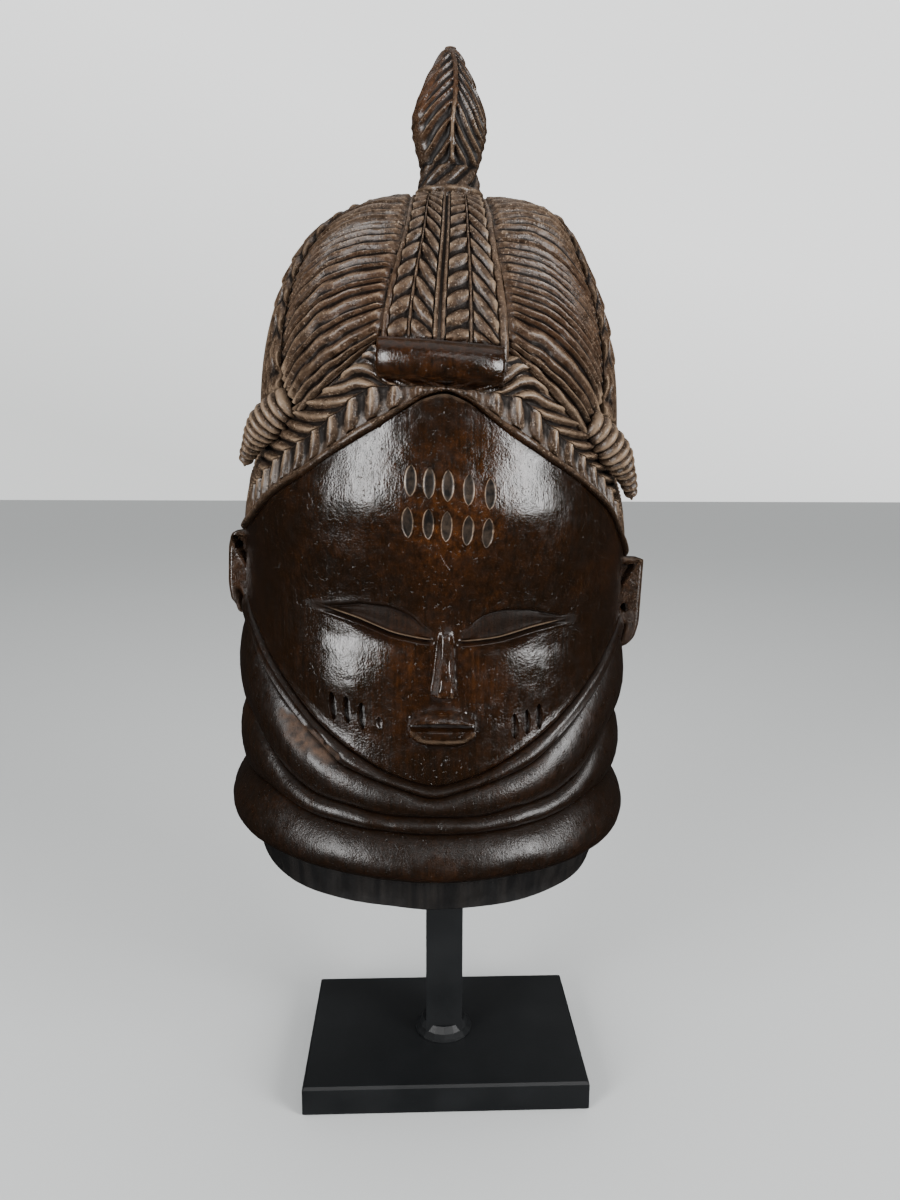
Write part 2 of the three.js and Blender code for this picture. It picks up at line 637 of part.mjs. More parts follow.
// Smooth round bar across the foot of the panel, bent a little with the head.
function bar() {
  const steps = 4;
  const count = 12;
  const ring = (step) => [...Array(count).keys()].map((k) => {
    const x = ((2 * step) / steps - 1) * (BAR_LENGTH / 2);
    const a = (2 * PI * k) / count;
    const y = -BAR_REACH + (x * x) / (2 * BAR_BEND);
    return new THREE.Vector3(BAR_X + x, y - BAR_RADIUS * cos(a), BAR_HEIGHT + BAR_RADIUS * sin(a));
  });
  return loft([...Array(steps + 1).keys()].map(ring));
}

// Middle line of a side braid, from its tuft to the crown.
function sideBraidLine(side) {
  return (t) => onMeridian(side * through(SIDE_BRAID_AZIMUTHS, t), through(SIDE_BRAID_CLIMBS, t), 0);
}

function sideBraid(side) {
  const line = sideBraidLine(side);
  const surface = (t, w, lift) => {
    const here = line(t);
    const along = line(t + 0.01).sub(line(t - 0.01));
    const across = along.cross(onHead(here, 1).sub(here)).normalize();
    return onHead(here.addScaledVector(across, w * SIDE_BRAID_HALF), lift);
  };
  return band(surface, BRAID_PAIRS, plait(-1, 1, 2.2, LEAF_LEAN));
}

// Band of leaves over a smooth line round the forehead, up to the lobe.
function hairBand(side) {
  const surface = (t, w, lift) => {
    const azimuth = lerp(80, 1, t);
    const low = hairlineAt(side * azimuth);
    return atHeight(side * azimuth, lerp(low, through(LOBE_EDGE, azimuth) - 1, w), lift);
  };
  const cord = [[-0.03, -1.5, 0, false], [0.04, 1.8, 0, false]];
  const plain = [[1.4, 0, 0, false]];
  return band(surface, HAIR_BAND_PAIRS, [...cord, ...plait(0.12, 1, 0.2, LEAF_LEAN), ...plain]);
}

// Horn-shaped bun bound with rings, hanging over the temple.
function tuft(side) {
  const [first, middle, last] = (side < 0 ? TUFT_LEFT : TUFT_RIGHT).map((p) => new THREE.Vector3(...p));
  const line = new THREE.QuadraticBezierCurve3(first, middle, last);
  const rows = 2 * TUFT_RINGS;
  const ring = (i) => ringAround(line, i / rows, through(TUFT_SIZES, i / rows) + comb(i, 1.4));
  const rings = [...Array(rows + 1).keys()].map(ring);
  rings.push(ringAround(line, 1, 3.5, 2.5));
  return loft(rings);
}

// Closed ring of points round a curve.
function ringAround(line, t, radius, beyond = 0) {
  const count = 7;
  const along = line.getTangent(t);
  const middle = line.getPoint(t).addScaledVector(along, beyond);
  const first = new THREE.Vector3(0, 0, 1).cross(along).normalize();
  const second = along.clone().cross(first);
  return [...Array(count).keys()].map((k) => {
    const a = (2 * PI * k) / count;
    return middle.clone().addScaledVector(first, radius * cos(a)).addScaledVector(second, radius * sin(a));
  });
}

// Leaf-shaped topknot: a twisted neck, then ribs that slope down from a middle line at front and back.
function finial() {
  const count = 12;
  const neckSteps = 3;
  const ribs = 8;
  const turn = (2 * 2 * PI) / count;
  const rings = [];
  const ring = (heightAt, angleOf, carve) => [...Array(count).keys()].map((k) => {
    const angle = angleOf(k);
    const height = heightAt(angle);
    const radius = through(FINIAL_PROFILE, height) + carve(angle, k);
    const x = through(FINIAL_X, height) + radius * sin(angle);
    return new THREE.Vector3(x, FINIAL_Y - radius * FINIAL_FLATNESS * cos(angle), height);
  });
  for (let i = 0; i <= neckSteps; i += 1) {
    const height = lerp(FINIAL_BASE, FINIAL_NECK, i / neckSteps);
    const angleOf = (k) => (2 * PI * k) / count + (turn * i) / neckSteps;
    rings.push(ring(() => height, angleOf, (_, k) => comb(k, 1.8)));
  }
  const rows = 2 * ribs;
  for (let i = 1; i < rows; i += 1) {
    const t = i / rows;
    const fromRib = (angle) => min(abs(Math.asin(sin(angle))), PI / 2) / (PI / 2);
    const drop = FINIAL_SLOPE * 4 * t * (1 - t);
    const heightAt = (angle) => lerp(FINIAL_NECK, FINIAL_TOP - 2, t) - drop * fromRib(angle);
    const carve = (angle) => (fromRib(angle) < 0.05 ? 0.6 : comb(i, 1.7) * (1 - t ** 4));
    rings.push(ring(heightAt, (k) => (2 * PI * (k + 2)) / count, carve));
  }
  rings.push(ring(() => FINIAL_TOP, (k) => (2 * PI * (k + 2)) / count, () => -1));
  return loft(rings);
}

function carvedMask() {
  const parts = [backHair(), panel(), bar(), nose(), finial()];
  for (const side of [-1, 1]) {
    parts.push(lobe(side), sideBraid(side), hairBand(side), tuft(side), ear(side));
  }
  parts.push(lip(UPPER_LIP), lip(LOWER_LIP));
  let mask = head();
  for (const part of parts) {
    mask = mask.add(part);
  }
  for (const height of SCAR_HEIGHTS) {
    for (const azimuth of SCAR_AZIMUTHS) {
      mask = mask.subtract(nick(azimuth, height, SCAR));
    }
  }
  for (const azimuth of CHEEK_AZIMUTHS) {
    mask = mask.subtract(nick(azimuth, CHEEK_HEIGHT, CHEEK_MARK));
  }
  return mask.subtract(hollow());
}

// Stand

function basePlate() {
  const [x, y, e] = [PLATE_WIDTH / 2, PLATE_DEPTH / 2, PLATE_EDGE];
  const corners = [[-1, -1], [1, -1], [1, 1], [-1, 1]];
  const corner = (inset, height) => ([a, b]) => new THREE.Vector3(a * (x - inset), b * (y - inset), height);
  const ring = (inset, height) => corners.map(corner(inset, height));
  const rings = [ring(e, 0), ring(0, e), ring(0, PLATE_THICKNESS - e), ring(e, PLATE_THICKNESS)];
  return loft(rings, (point) => point);
}

function post(top) {
  const foot = PLATE_THICKNESS + CLEARANCE;
  const bar = new THREE.BoxGeometry(POST_SIDE, POST_SIDE, top - foot);
  bar.translate(0, 0, (top + foot) / 2);
  const profile = [
    [0, 0], [WELD_RADIUS, 0], [WELD_RADIUS, 1.5], [WELD_RADIUS - 2.5, 3.2],
    [WELD_RADIUS - 4, WELD_HEIGHT], [0, WELD_HEIGHT],
  ];
  const weld = new THREE.LatheGeometry(profile.map(([r, z]) => new THREE.Vector2(r, z)), 16);
  weld.rotateX(PI / 2);
  weld.translate(0, 0, foot);
  return fromGeometry(bar).add(fromGeometry(weld));
}

const wood = new THREE.MeshStandardMaterial({ color: WOOD_COLOUR, roughness: 0.4, metalness: 0 });
const steel = new THREE.MeshStandardMaterial({ color: STEEL_COLOUR, roughness: 0.6, metalness: 0 });

function piece(name, body, material) {
  const mesh = new THREE.Mesh(toGeometry(body), material);
  mesh.name = name;
  return mesh;
}

const helmet = piece('mask', carvedMask(), wood);
helmet.position.set(MASK_X, 0, RIM_LIFT);
helmet.rotation.y = radians(MASK_LEAN);

const postTop = RIM_LIFT + CEILING * cos(radians(MASK_LEAN)) - 2 * CLEARANCE;
const object = new THREE.Group();
object.add(piece('base_plate', basePlate(), steel), piece('post', post(postTop), steel), helmet);

export default object;
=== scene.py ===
import math

import bpy
import numpy as np
from mathutils import Matrix, Vector


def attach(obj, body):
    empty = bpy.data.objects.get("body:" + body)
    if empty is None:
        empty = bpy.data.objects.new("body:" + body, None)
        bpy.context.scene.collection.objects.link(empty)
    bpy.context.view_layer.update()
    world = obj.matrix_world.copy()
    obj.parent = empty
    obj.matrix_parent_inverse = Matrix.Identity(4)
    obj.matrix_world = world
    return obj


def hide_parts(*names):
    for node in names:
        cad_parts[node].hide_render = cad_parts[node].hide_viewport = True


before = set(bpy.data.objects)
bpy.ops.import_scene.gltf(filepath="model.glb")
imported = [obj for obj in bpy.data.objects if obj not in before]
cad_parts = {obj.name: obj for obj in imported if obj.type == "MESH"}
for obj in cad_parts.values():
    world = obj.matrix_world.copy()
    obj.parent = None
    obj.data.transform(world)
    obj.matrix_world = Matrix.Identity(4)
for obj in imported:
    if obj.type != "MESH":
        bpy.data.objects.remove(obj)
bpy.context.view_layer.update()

# Where the mask sits on its post
RIM_LIFT = 139
MASK_X = -9.5
MASK_LEAN = 1.5

# The head's outline: reach from the upright axis at heights above the rim
SIDE_REACH = [(0, 94), (21, 94.8), (61, 94.8), (101, 95.3), (161, 95.9), (183, 93), (206, 88.6)]
FRONT_REACH = [(0, 98), (21, 97), (61, 97), (101, 96), (131, 96), (161, 104), (183, 109), (206, 107)]
BACK_REACH = [(0, 96), (21, 98), (61, 98), (101, 99), (131, 102), (161, 106), (206, 108)]
PLAN_POWER = 2.2
DOME_BASE = 206
DOME_RISE = 116
DOME_POWER = 2.5
# The crown is fuller towards +X: middle x and z, spread both ways, and height
SHOULDER = (45, 305, 18, 16, 4.4)

# Lines carved round the head: heights at azimuths in degrees from the middle of the face
RIM = [(0, -2), (40, -1), (80, 3), (130, 1), (180, 0)]
BAND_TOP = [(0, 14.6), (25, 15.8), (50, 16.4), (180, 16)]
GROOVE_LOW = [(0, 36), (30, 39), (53, 45), (90, 41), (180, 41)]
GROOVE_HIGH = [(0, 44), (10, 44), (22, 47), (31, 49), (41, 55), (52, 67), (63, 75), (80, 76), (180, 76)]
SCARF_FOOT = [(0, 53), (9, 57), (19, 62), (25, 66), (32, 74), (45, 91), (54, 102), (63, 113), (80, 117)]
JAW = [(0, 59), (10, 63), (20, 71), (30, 81), (40, 94), (50, 107), (60, 119), (75, 127)]
EYE_SLIT = [
    (0, 121.5), (4.9, 121.7), (9.2, 122.6), (13.5, 123.8), (18, 126), (22.6, 128.3), (27.3, 130), (31.7, 131.2),
    (60, 134),
]
BROW = [
    (0, 124.2), (4.9, 127.4), (8.2, 131.8), (11.5, 134.7), (15.9, 136.3), (21.6, 136.4), (27.5, 134.7),
    (31.7, 133.9), (60, 137),
]
HAIRLINE = [
    (0, 226), (4, 224), (9, 218.3), (14, 212), (20, 205.8), (31, 194.5), (37, 188.8), (43, 183.5), (50, 176.5),
    (60, 166), (78, 158),
]
# The hairline's own slant: lower on the side of -X
HAIRLINE_TILT = [(0, 0), (12, 0.3), (24, 1.4), (34, 3.2), (46, 3.2), (60, 1.5), (78, 0)]
LOBE_EDGE = [
    (0, 230), (6, 233), (13, 239), (16.5, 241), (19, 239.5), (24, 231), (30, 223.5), (36, 217.5), (44, 211.5),
    (60, 197), (80, 184),
]
NAPE = [(50, 208), (60, 199), (70, 193), (80, 187), (86, 172), (95, 138), (110, 128), (180, 126)]

# The mesh of the head: spacing of its columns in degrees up to an azimuth, and its rows
AZIMUTH_STEPS = [(6.5, 0.32), (11, 0.42), (17, 0.65), (35, 0.95), (62, 1.6), (100, 2.4), (178.5, 4.4)]
BAND_SHARES = [0.06, 0.2, 0.35, 0.5, 0.65, 0.8, 0.92, 1]
RING_ROWS = [15, 9, 10, 9]
FACE_HEIGHTS = [
    62, 64.5, 67, 69.5, 72, 74.5, 76, 76.9, 77.8, 78.7, 79.8, 81.5, 83.2, 84.2, 84.8, 85.3, 86.2, 87, 87.5, 88,
    89.6, 91.2, 92, 92.8, 94, 95.6, 97, 98, 98.6, 99.2, 99.8, 100.5, 101.6, 103.2, 105, 107, 109, 111, 113, 115,
    117, 118.6,
]
FOREHEAD_ROWS = 30
CROWN_SHARES = [0.1, 0.22, 0.36, 0.5, 0.63, 0.74, 0.83, 0.9, 0.95, 0.98, 0.995]

# How far each part stands out from the head's outline, or lies in
BAND_DEPTH = 4
BAND_TAPER = 1.6
RIM_RAGGED = 0.6
RING_BULGES = [9, 4.5, 4.5, 3]
FOLD_DEPTH = 1.7
FLAKE_DEPTH = 1.1
SKIN_GRAIN = 0.07
GROOVE_DEPTH = 1.5
HAIR_GROUND = -6
HAIR_ROOT = -10.5
WALL = 13
CEILING = 292
HOLLOW_HEIGHTS = [-6, 10, 30, 50, 80, 110, 140, 160, 185, 206]
HOLLOW_CLIMBS = [8, 16, 23, 30, 36, 42]

# Hair
LOBE_STRANDS = 24
TOP_SWELL = {-1: 0.4, 1: 1.2}
# Front strands from the lowest, 0, to the topmost, 1: start along the panel, end, and slope at both in degrees
STRAND_STARTS = [(0, 0.01), (0.25, 0.15), (0.5, 0.32), (0.75, 0.52), (0.9, 0.7), (1, 0.92)]
STRAND_END_AZIMUTHS = [
    (0, 36.5), (0.1, 40), (0.2, 44), (0.3, 46), (0.5, 48), (0.7, 50), (0.8, 53), (0.9, 58), (1, 66),
]
STRAND_END_CLIMBS = [
    (0, 4), (0.1, 6.5), (0.2, 9.5), (0.3, 14), (0.5, 24), (0.7, 35), (0.8, 43), (0.9, 54), (1, 67),
]
STRAND_LEAVING = [(0, 40), (0.12, 32), (0.3, 12), (0.5, 4), (1, 0)]
STRAND_ARRIVING = [(0, 44), (0.2, 52), (0.4, 50), (0.6, 44), (0.8, 36), (1, 25)]
BACK_STRANDS = 26
STRAND_SAMPLES = 7
LEAF_SAMPLES = 8
PANEL_PAIRS = 15
BRAID_PAIRS = 12
HAIR_BAND_PAIRS = 16
BAR_LENGTH = 51
BAR_RADIUS = 8.3
BAR_BEND = 85
BAR_X = -2.5
BAR_REACH = 104
BAR_HEIGHT = 237
PANEL_MIDDLE = [(0, -0.9), (0.5, 0.4), (1, 0.6)]
PANEL_RIB_SHIFT = [(0, -2.4), (0.5, -1.5), (1, -0.4)]
PANEL_FROM = 19
PANEL_TO = 77
PANEL_WIDTHS = [(0, 26), (0.5, 18.2), (1, 15.8)]
# Profiles across a band: place and lift
PANEL_BORDER = [
    (1.05, -2.8), (1.035, -1.5), (1.02, -0.8), (0.985, -0.4), (0.94, -0.5), (0.905, -0.9), (0.892, -1.9),
]
PANEL_RIB = [
    (-0.1, -1.4), (-0.085, -0.1), (-0.045, -0.1), (-0.022, -1.0), (0.02, -1.0), (0.04, -0.2), (0.08, -0.2),
    (0.092, -1.4),
]
FOREHEAD_CORD = [(-0.04, -1.6), (-0.035, 0.6), (0.0, 1.9), (0.05, 2.4), (0.1, 1.7), (0.125, -0.9)]
HAIR_BAND_TOP = [(1.03, -0.8), (1.07, -0.2), (1.13, -3.0), (1.4, -5.0)]
# Places along the bar and its size there
BAR_STATIONS = [
    (-1, 0.84), (-0.99, 0.93), (-0.96, 0.985), (-0.8, 1), (-0.6, 0.99), (-0.3, 1.0), (0, 0.99), (0.3, 0.985),
    (0.6, 1), (0.8, 1), (0.96, 0.985), (0.99, 0.93), (1, 0.84),
]
SIDE_BRAID_AZIMUTHS = [(0, 48.5), (0.25, 52), (0.45, 54), (0.65, 60), (0.85, 68), (1, 77)]
SIDE_BRAID_CLIMBS = [(0, 8), (0.25, 25), (0.45, 39), (0.65, 54), (0.85, 68), (1, 80)]
SIDE_BRAID_HALF = 6.5
# Where the hair of the back is gathered: climb in degrees at azimuths from the face
BACK_TOP = [(48.5, 12), (52, 25), (54, 39), (60, 54), (68, 68), (77, 80), (110, 84)]
TUFT_RINGS = 11
TUFT_SIZES = [(0, 7.4), (0.2, 8.1), (0.42, 8.2), (0.55, 7), (0.72, 5.1), (0.88, 4), (1, 3.2)]
TUFT_LINES = {
    -1: [(-65, -73.5, 219), (-82, -67, 207), (-89, -51, 191)],
    1: [(62, -76, 220), (82, -68, 207), (89.6, -52, 189)],
}

# Topknot
FINIAL_TOP = 391.8
FINIAL_BASE = 312
FINIAL_NECK = 337
FINIAL_CORD = 326.5
FINIAL_Y = -8
FINIAL_FLATNESS = 0.86
FINIAL_STRANDS = 9
FINIAL_ROOTS = 18
# Ribs counted from the neck up, at shares of the height, and how steeply they fall left and right
FINIAL_RIBS = [
    (0, 0), (0.2, 1), (0.35, 2), (0.5, 3), (0.62, 4), (0.7, 5), (0.78, 6), (0.86, 7), (0.93, 8), (1, 9),
    (1.4, 12),
]
FINIAL_FALL_LEFT = [(337, 1.15), (360, 1.0), (391, 0.6)]
FINIAL_FALL_RIGHT = [(337, 1.5), (365, 1.4), (391, 1.1)]
FINIAL_X = [(312, 2), (325, 1.9), (337, 1.5), (350, 1.1), (365, 0.7), (391, 0.5)]
FINIAL_MIDRIB = [(337, 1), (352, 1), (360, 1.7), (370, 2.6), (380, 2.4), (391, 0.6)]
FINIAL_PROFILE = [
    (312, 16.5), (322, 16), (327, 15.6), (331, 15), (334, 14.4), (338, 15), (345, 16.6), (352, 18.2),
    (357, 18.5), (362, 17.6), (368, 15.5), (375, 12.7), (382, 9.2), (389, 4.9), (391, 2.8),
]

# Face
NOSE_AZIMUTH = 2
NOSE_STAND = [(98.2, 0), (99.4, 7.4), (100.8, 9), (104.5, 8.5), (113, 6.2), (120, 3.8), (125, 1.8), (128, 0)]
NOSE_FOOT = [(98, 5.6), (101, 5.6), (105, 4.9), (113, 4.2), (122, 3.6), (128, 3.2)]
NOSE_RIDGE = [(98, 3.1), (101, 2.9), (105, 2.1), (113, 1.8), (122, 1.5), (128, 1.3)]
MOUTH_LEFT = -14.4
MOUTH_RIGHT = 13.6
MOUTH_HEIGHT = 86.2
LIP_STAND = [
    (76.4, 0), (77.8, 2.6), (79.6, 4.6), (83.4, 5.2), (84.6, 4.6), (85.3, 1.2), (87, 1), (87.6, 4.6),
    (88.3, 4.9), (91.4, 2.6), (92.8, 0),
]
# Each cheek swells out round a middle: azimuth from the nose and height, with its spread, and the stand of both
CHEEK_MIDDLE = (27, 106)
CHEEK_SPREAD = (13, 15)
CHEEK_STAND = (2, 0.9)
# Rows of the eye: rise above the slit and depth for the lid's edge, share up to the brow and depth for the lid,
# and rise above the brow and depth
LID_EDGE = [
    (-1.3, 0), (-0.9, 0.3), (-0.5, 0.1), (-0.1, -2.4), (0.5, -3.2), (1, -2.7), (1.35, -0.6), (1.75, -0.4),
    (2.3, -1.4),
]
LID = [(0.12, -1.7), (0.3, -1.5), (0.5, -1.35), (0.7, -1.3), (0.85, -1.6), (0.95, -2.1)]
BROW_EDGE = [(0.2, -2.1), (0.7, -0.9), (1.3, -0.1), (1.9, 0.1), (3, 0)]
# The eye ends between these azimuths from the nose
EYE_END = (26.5, 34.5)
EAR_FRONT = -14
EAR_BACK = 4
# Seen from the side the ear is round behind: middle y and z, depth and height
EAR_ROUND = (-12, 132.4, 16, 26)
EAR_EDGES = {
    -1: [
        (112.6, 96), (113.6, 100), (117.5, 101.6), (121, 104), (131, 105.2), (146, 105), (153.8, 103.4),
        (155.6, 101), (156.4, 97),
    ],
    1: [
        (108.2, 96), (109, 100), (111, 103), (115, 105.8), (124, 107.5), (146, 107.8), (155, 107.9),
        (156, 106.7), (156.4, 104),
    ],
}
EAR_HOLES = {-1: (99.6, 148.5), 1: (98.6, 130)}
EAR_DROP = 4.5
# Scars: azimuth and height, and for those on the cheeks the length
FOREHEAD_CUTS = [
    (-7, 190), (-3, 189.5), (1, 189), (5.5, 188), (10.2, 187),
    (-7.5, 173), (-3, 173), (1, 172.5), (5.7, 171.5), (10.2, 171),
]
CHEEK_CUTS = [
    (-27, 91, 12), (-23, 90, 12), (-19, 88, 12), (-14.3, 85.5, 6), (21, 84.5, 12), (24.5, 86, 12), (28, 88, 12),
]
# Rings of a scar from its floor up: rise in depths of the cut, and share of its width
CUT_RINGS = [(-1, 0.5), (-0.7, 0.82), (0, 1)]
# The flaked patch on the scarf: azimuth and height of its middle, and half its size each way
FLAKED = (-34.5, 75, 6.6, 5.6)

# Rounds of smoothing that tell the high parts from the low
SMOOTHING_ROUNDS = 8
# Where hands and cloth have rubbed the dye brown: middle, spread and strength
RUBBED = [
    ((2, -104, 178), (26, 30, 26), 0.8), ((0, -104, 112), (26, 30, 22), 0.4),
    ((0, -100, 84), (34, 30, 16), 0.12), ((-2.5, -112, 234), (34, 14, 12), 0.45),
    ((99, -16, 132), (8, 10, 26), 0.3), ((-99, -16, 136), (8, 10, 26), 0.3),
    ((-10, -22, 368), (14, 16, 20), 1.0), ((-40, -70, 262), (26, 40, 26), 0.5),
    ((45, -60, 262), (26, 40, 30), 0.5),
]

# The photograph's viewpoint: place in metres, pitch, yaw and roll in degrees, and lens in millimetres
CAMERA_PLACE = (-0.0156, -0.4713, 0.3409)
CAMERA_TURN = (-9.28, -2.2, -0.27)
CAMERA_LENS = 27.03
# Lights: place, the point they face, size across and up in metres, and power in watts
LIGHTS = {
    "left_box": ((-0.9, -1.0, 0.52), (0, 0, 0.3), (0.52, 1.1), 25),
    "right_box": ((1.0, -0.9, 0.58), (0, 0, 0.3), (0.62, 1.0), 29),
    "high_front": ((0.35, -1.5, 1.5), (0, 0, 0.25), (0.8, 0.4), 3),
    "ceiling": ((0, 0.35, 1.9), (0, 0, 0.3), (2.6, 2.6), 10),
}
FLOOR_HALF = 6.0


# Numbers and surfaces

def through(knots, x):
    """Smooth curve through (x, y) knots that never swings past a knot."""
    kx, ky = np.array(knots, float).T
    slope = np.diff(ky) / np.diff(kx)
    tangent = np.zeros(len(kx))
    turning = slope[:-1] * slope[1:] > 0
    total = np.where(turning, slope[:-1] + slope[1:], 1)
    tangent[1:-1] = np.where(turning, 2 * slope[:-1] * slope[1:] / total, 0)
    at = np.clip(x, kx[0], kx[-1])
    i = np.clip(np.searchsorted(kx, at, side="right") - 1, 0, len(kx) - 2)
    width = kx[i + 1] - kx[i]
    t = (at - kx[i]) / width
    start = ky[i] * (1 + 2 * t) * (1 - t) ** 2 + ky[i + 1] * (3 - 2 * t) * t * t
    return start + width * t * (1 - t) * (tangent[i] * (1 - t) - tangent[i + 1] * t)


def smoothstep(x, low, high):
    t = np.clip((x - low) / (high - low), 0, 1)
    return t * t * (3 - 2 * t)


def fade(x, low, high):
    """1 up to low, 0 from high on."""
    return 1 - smoothstep(x, low, high)


def lerp(a, b, t):
    return a + (b - a) * t


def bell(x, middle, spread):
    """1 at the middle, falling off on both sides."""
    return np.exp(-((x - middle) / spread) ** 2)


def stacked(*parts):
    """Arrays side by side, as the x, y and z of points or the corners of faces."""
    return np.stack(np.broadcast_arrays(*parts), -1)


def unit(vectors):
    return vectors / np.linalg.norm(vectors, axis=-1, keepdims=True)


def waver(points, size, seed):
    """Soft unevenness left by the hand, -1 to 1, in lumps of a size in millimetres."""
    table = np.random.default_rng(seed).random((32, 32, 32))
    place = points / size + 64
    corner = np.floor(place).astype(int)
    share = place - corner
    share = share * share * (3 - 2 * share)
    total = 0
    for step in np.ndindex(2, 2, 2):
        weight = np.prod(np.where(step, share, 1 - share), axis=-1)
        cell = (corner + step) % 32
        total = total + weight * table[cell[..., 0], cell[..., 1], cell[..., 2]]
    return 2 * total - 1


def reach(x, y, height):
    """From the axis to the head's outline in the direction (x, y)."""
    low = np.minimum(height, DOME_BASE)
    deep = np.where(y < 0, through(FRONT_REACH, low), through(BACK_REACH, low))
    wide = through(SIDE_REACH, low)
    size = np.maximum(np.hypot(x, y), 1e-6)
    across = (abs(x / size) / wide) ** PLAN_POWER + (abs(y / size) / deep) ** PLAN_POWER
    return across ** (-1 / PLAN_POWER)


def on_head(points, lift=0.0):
    """The head's skin nearest to the points, raised along its normal."""
    x, y, z = np.moveaxis(points, -1, 0)
    out = np.maximum(np.hypot(x, y), 1e-6)
    radius = reach(x, y, z)
    level = out / radius
    up = np.maximum(0, z - DOME_BASE) / DOME_RISE
    size = (level ** DOME_POWER + up ** DOME_POWER) ** (1 / DOME_POWER)
    steep = (level / size) ** (DOME_POWER - 1) / radius
    flat = (up / size) ** (DOME_POWER - 1) / DOME_RISE
    normal = unit(stacked(x / out * steep, y / out * steep, flat))
    height = np.where(up > 0, DOME_BASE + up * DOME_RISE / size, z)
    aside, above = (x / size - SHOULDER[0]) / SHOULDER[2], (height - SHOULDER[1]) / SHOULDER[3]
    swell = SHOULDER[4] * np.exp(-aside ** 2 - above ** 2)
    return stacked(x / size, y / size, height) + normal * (lift + swell)[..., None]


def at_height(azimuth, height, lift=0.0):
    azimuth, height = np.broadcast_arrays(azimuth, np.asarray(height, float))
    a = np.radians(azimuth)
    up = np.clip((height - DOME_BASE) / DOME_RISE, 0, 0.9999)
    radius = reach(np.sin(a), -np.cos(a), height) * (1 - up ** DOME_POWER) ** (1 / DOME_POWER)
    return on_head(stacked(radius * np.sin(a), -radius * np.cos(a), height), lift)


def on_meridian(azimuth, climb, lift=0.0):
    """The skin along a meridian: below zero in mm down the wall, above it in degrees over the dome."""
    azimuth, climb = np.broadcast_arrays(azimuth, np.asarray(climb, float))
    a = np.radians(azimuth)
    e = np.radians(np.maximum(climb, 0))
    out = reach(np.sin(a), -np.cos(a), DOME_BASE) * np.cos(e)
    over = on_head(stacked(out * np.sin(a), -out * np.cos(a), DOME_BASE + DOME_RISE * np.sin(e)), lift)
    down = at_height(azimuth, DOME_BASE + np.minimum(climb, 0), lift)
    return np.where((climb <= 0)[..., None], down, over)


def slant_drop(x, z):
    return 0.045 * x * smoothstep(z, 76, 151) * fade(z, 261, 331)


def slanted(points):
    """The carver's slant: eyes, ears and tufts sit lower on the side of +X."""
    x, y, z = np.moveaxis(points, -1, 0)
    return stacked(x, y, z - slant_drop(x, z))


def hairline_at(azimuth):
    return through(HAIRLINE, abs(azimuth)) + np.sign(azimuth) * through(HAIRLINE_TILT, abs(azimuth))


def strand_relief(phase, sharpness=2.6):
    """One strand of hair across: 0 in the cuts at whole numbers, 1 on its rounded back."""
    return 1 - abs(2 * (phase % 1) - 1) ** sharpness


def leaf_relief(phase, share, fullness):
    """One almond-shaped leaf of a plait: phase runs across it, share from its foot to its tip."""
    breadth = fullness * np.sin(np.pi * (0.1 + 0.8 * share)) ** 0.5
    return 1 - np.clip(abs(2 * (phase % 1) - 1) / breadth, 0, 1) ** 2.4


# Closed carved bodies

def placed(name, data):
    """A new object in the scene."""
    thing = bpy.data.objects.new(name, data)
    bpy.context.scene.collection.objects.link(thing)
    return thing


def carving(name, points, faces):
    """A closed body as a Blender object, with its faces looking out."""
    points = np.asarray(points, float).reshape(-1, 3)
    faces = np.asarray(faces)
    a, b, c = (points[faces[:, k]] for k in range(3))
    volume = np.einsum("ij,ij->i", a, np.cross(b, c)).sum()
    if faces.shape[1] == 4:
        volume += np.einsum("ij,ij->i", a, np.cross(c, points[faces[:, 3]])).sum()
    if volume < 0:
        faces = faces[:, ::-1]
    mesh = bpy.data.meshes.new(name)
    mesh.from_pydata(points.tolist(), [], faces.tolist())
    return placed(name, mesh)


def patch(name, outer, root, shaped=slanted):
    """A body between a carved outer skin and a root skin, both grids of rows by columns of points."""
    rows, columns = outer.shape[:2]
    index = np.arange(rows * columns).reshape(rows, columns)
    quads = stacked(index[:-1, :-1], index[:-1, 1:], index[1:, 1:], index[1:, :-1]).reshape(-1, 4)
    border = np.concatenate([index[0, :-1], index[:-1, -1], index[-1, :0:-1], index[:0:-1, 0]])
    following = np.roll(border, -1)
    layer = rows * columns
    walls = stacked(border, border + layer, following + layer, following)
    points = np.concatenate([outer.reshape(-1, 3), root.reshape(-1, 3)])
    return carving(name, shaped(points), np.concatenate([quads, quads[:, ::-1] + layer, walls]))


def loft(name, rings, shaped=slanted):
    """A body through closed rings of equal count, shut with a flat fan at each end."""
    rings = np.asarray(rings, float)
    count = rings.shape[1]
    index = np.arange(rings.shape[0] * count).reshape(-1, count)
    turned = np.roll(index, -1, axis=1)
    quads = stacked(index[:-1], turned[:-1], turned[1:], index[1:]).reshape(-1, 4)
    low = stacked(index.size, turned[0], index[0])
    high = stacked(index.size + 1, index[-1], turned[-1])
    split = np.concatenate([quads[:, [0, 1, 2]], quads[:, [0, 2, 3]], low, high])
    points = np.concatenate([rings.reshape(-1, 3), [rings[0].mean(0), rings[-1].mean(0)]])
    return carving(name, shaped(points), split)


# Head, neck rings and face

def head_azimuths():
    """Columns of the head: close together over nose and mouth, wider behind."""
    half = [0.0]
    for limit, step in AZIMUTH_STEPS:
        while half[-1] < limit:
            half.append(half[-1] + step)
    half = np.array([a for a in half if a < AZIMUTH_STEPS[-1][0]])
    return np.concatenate([-half[:0:-1], half, [180.0]])


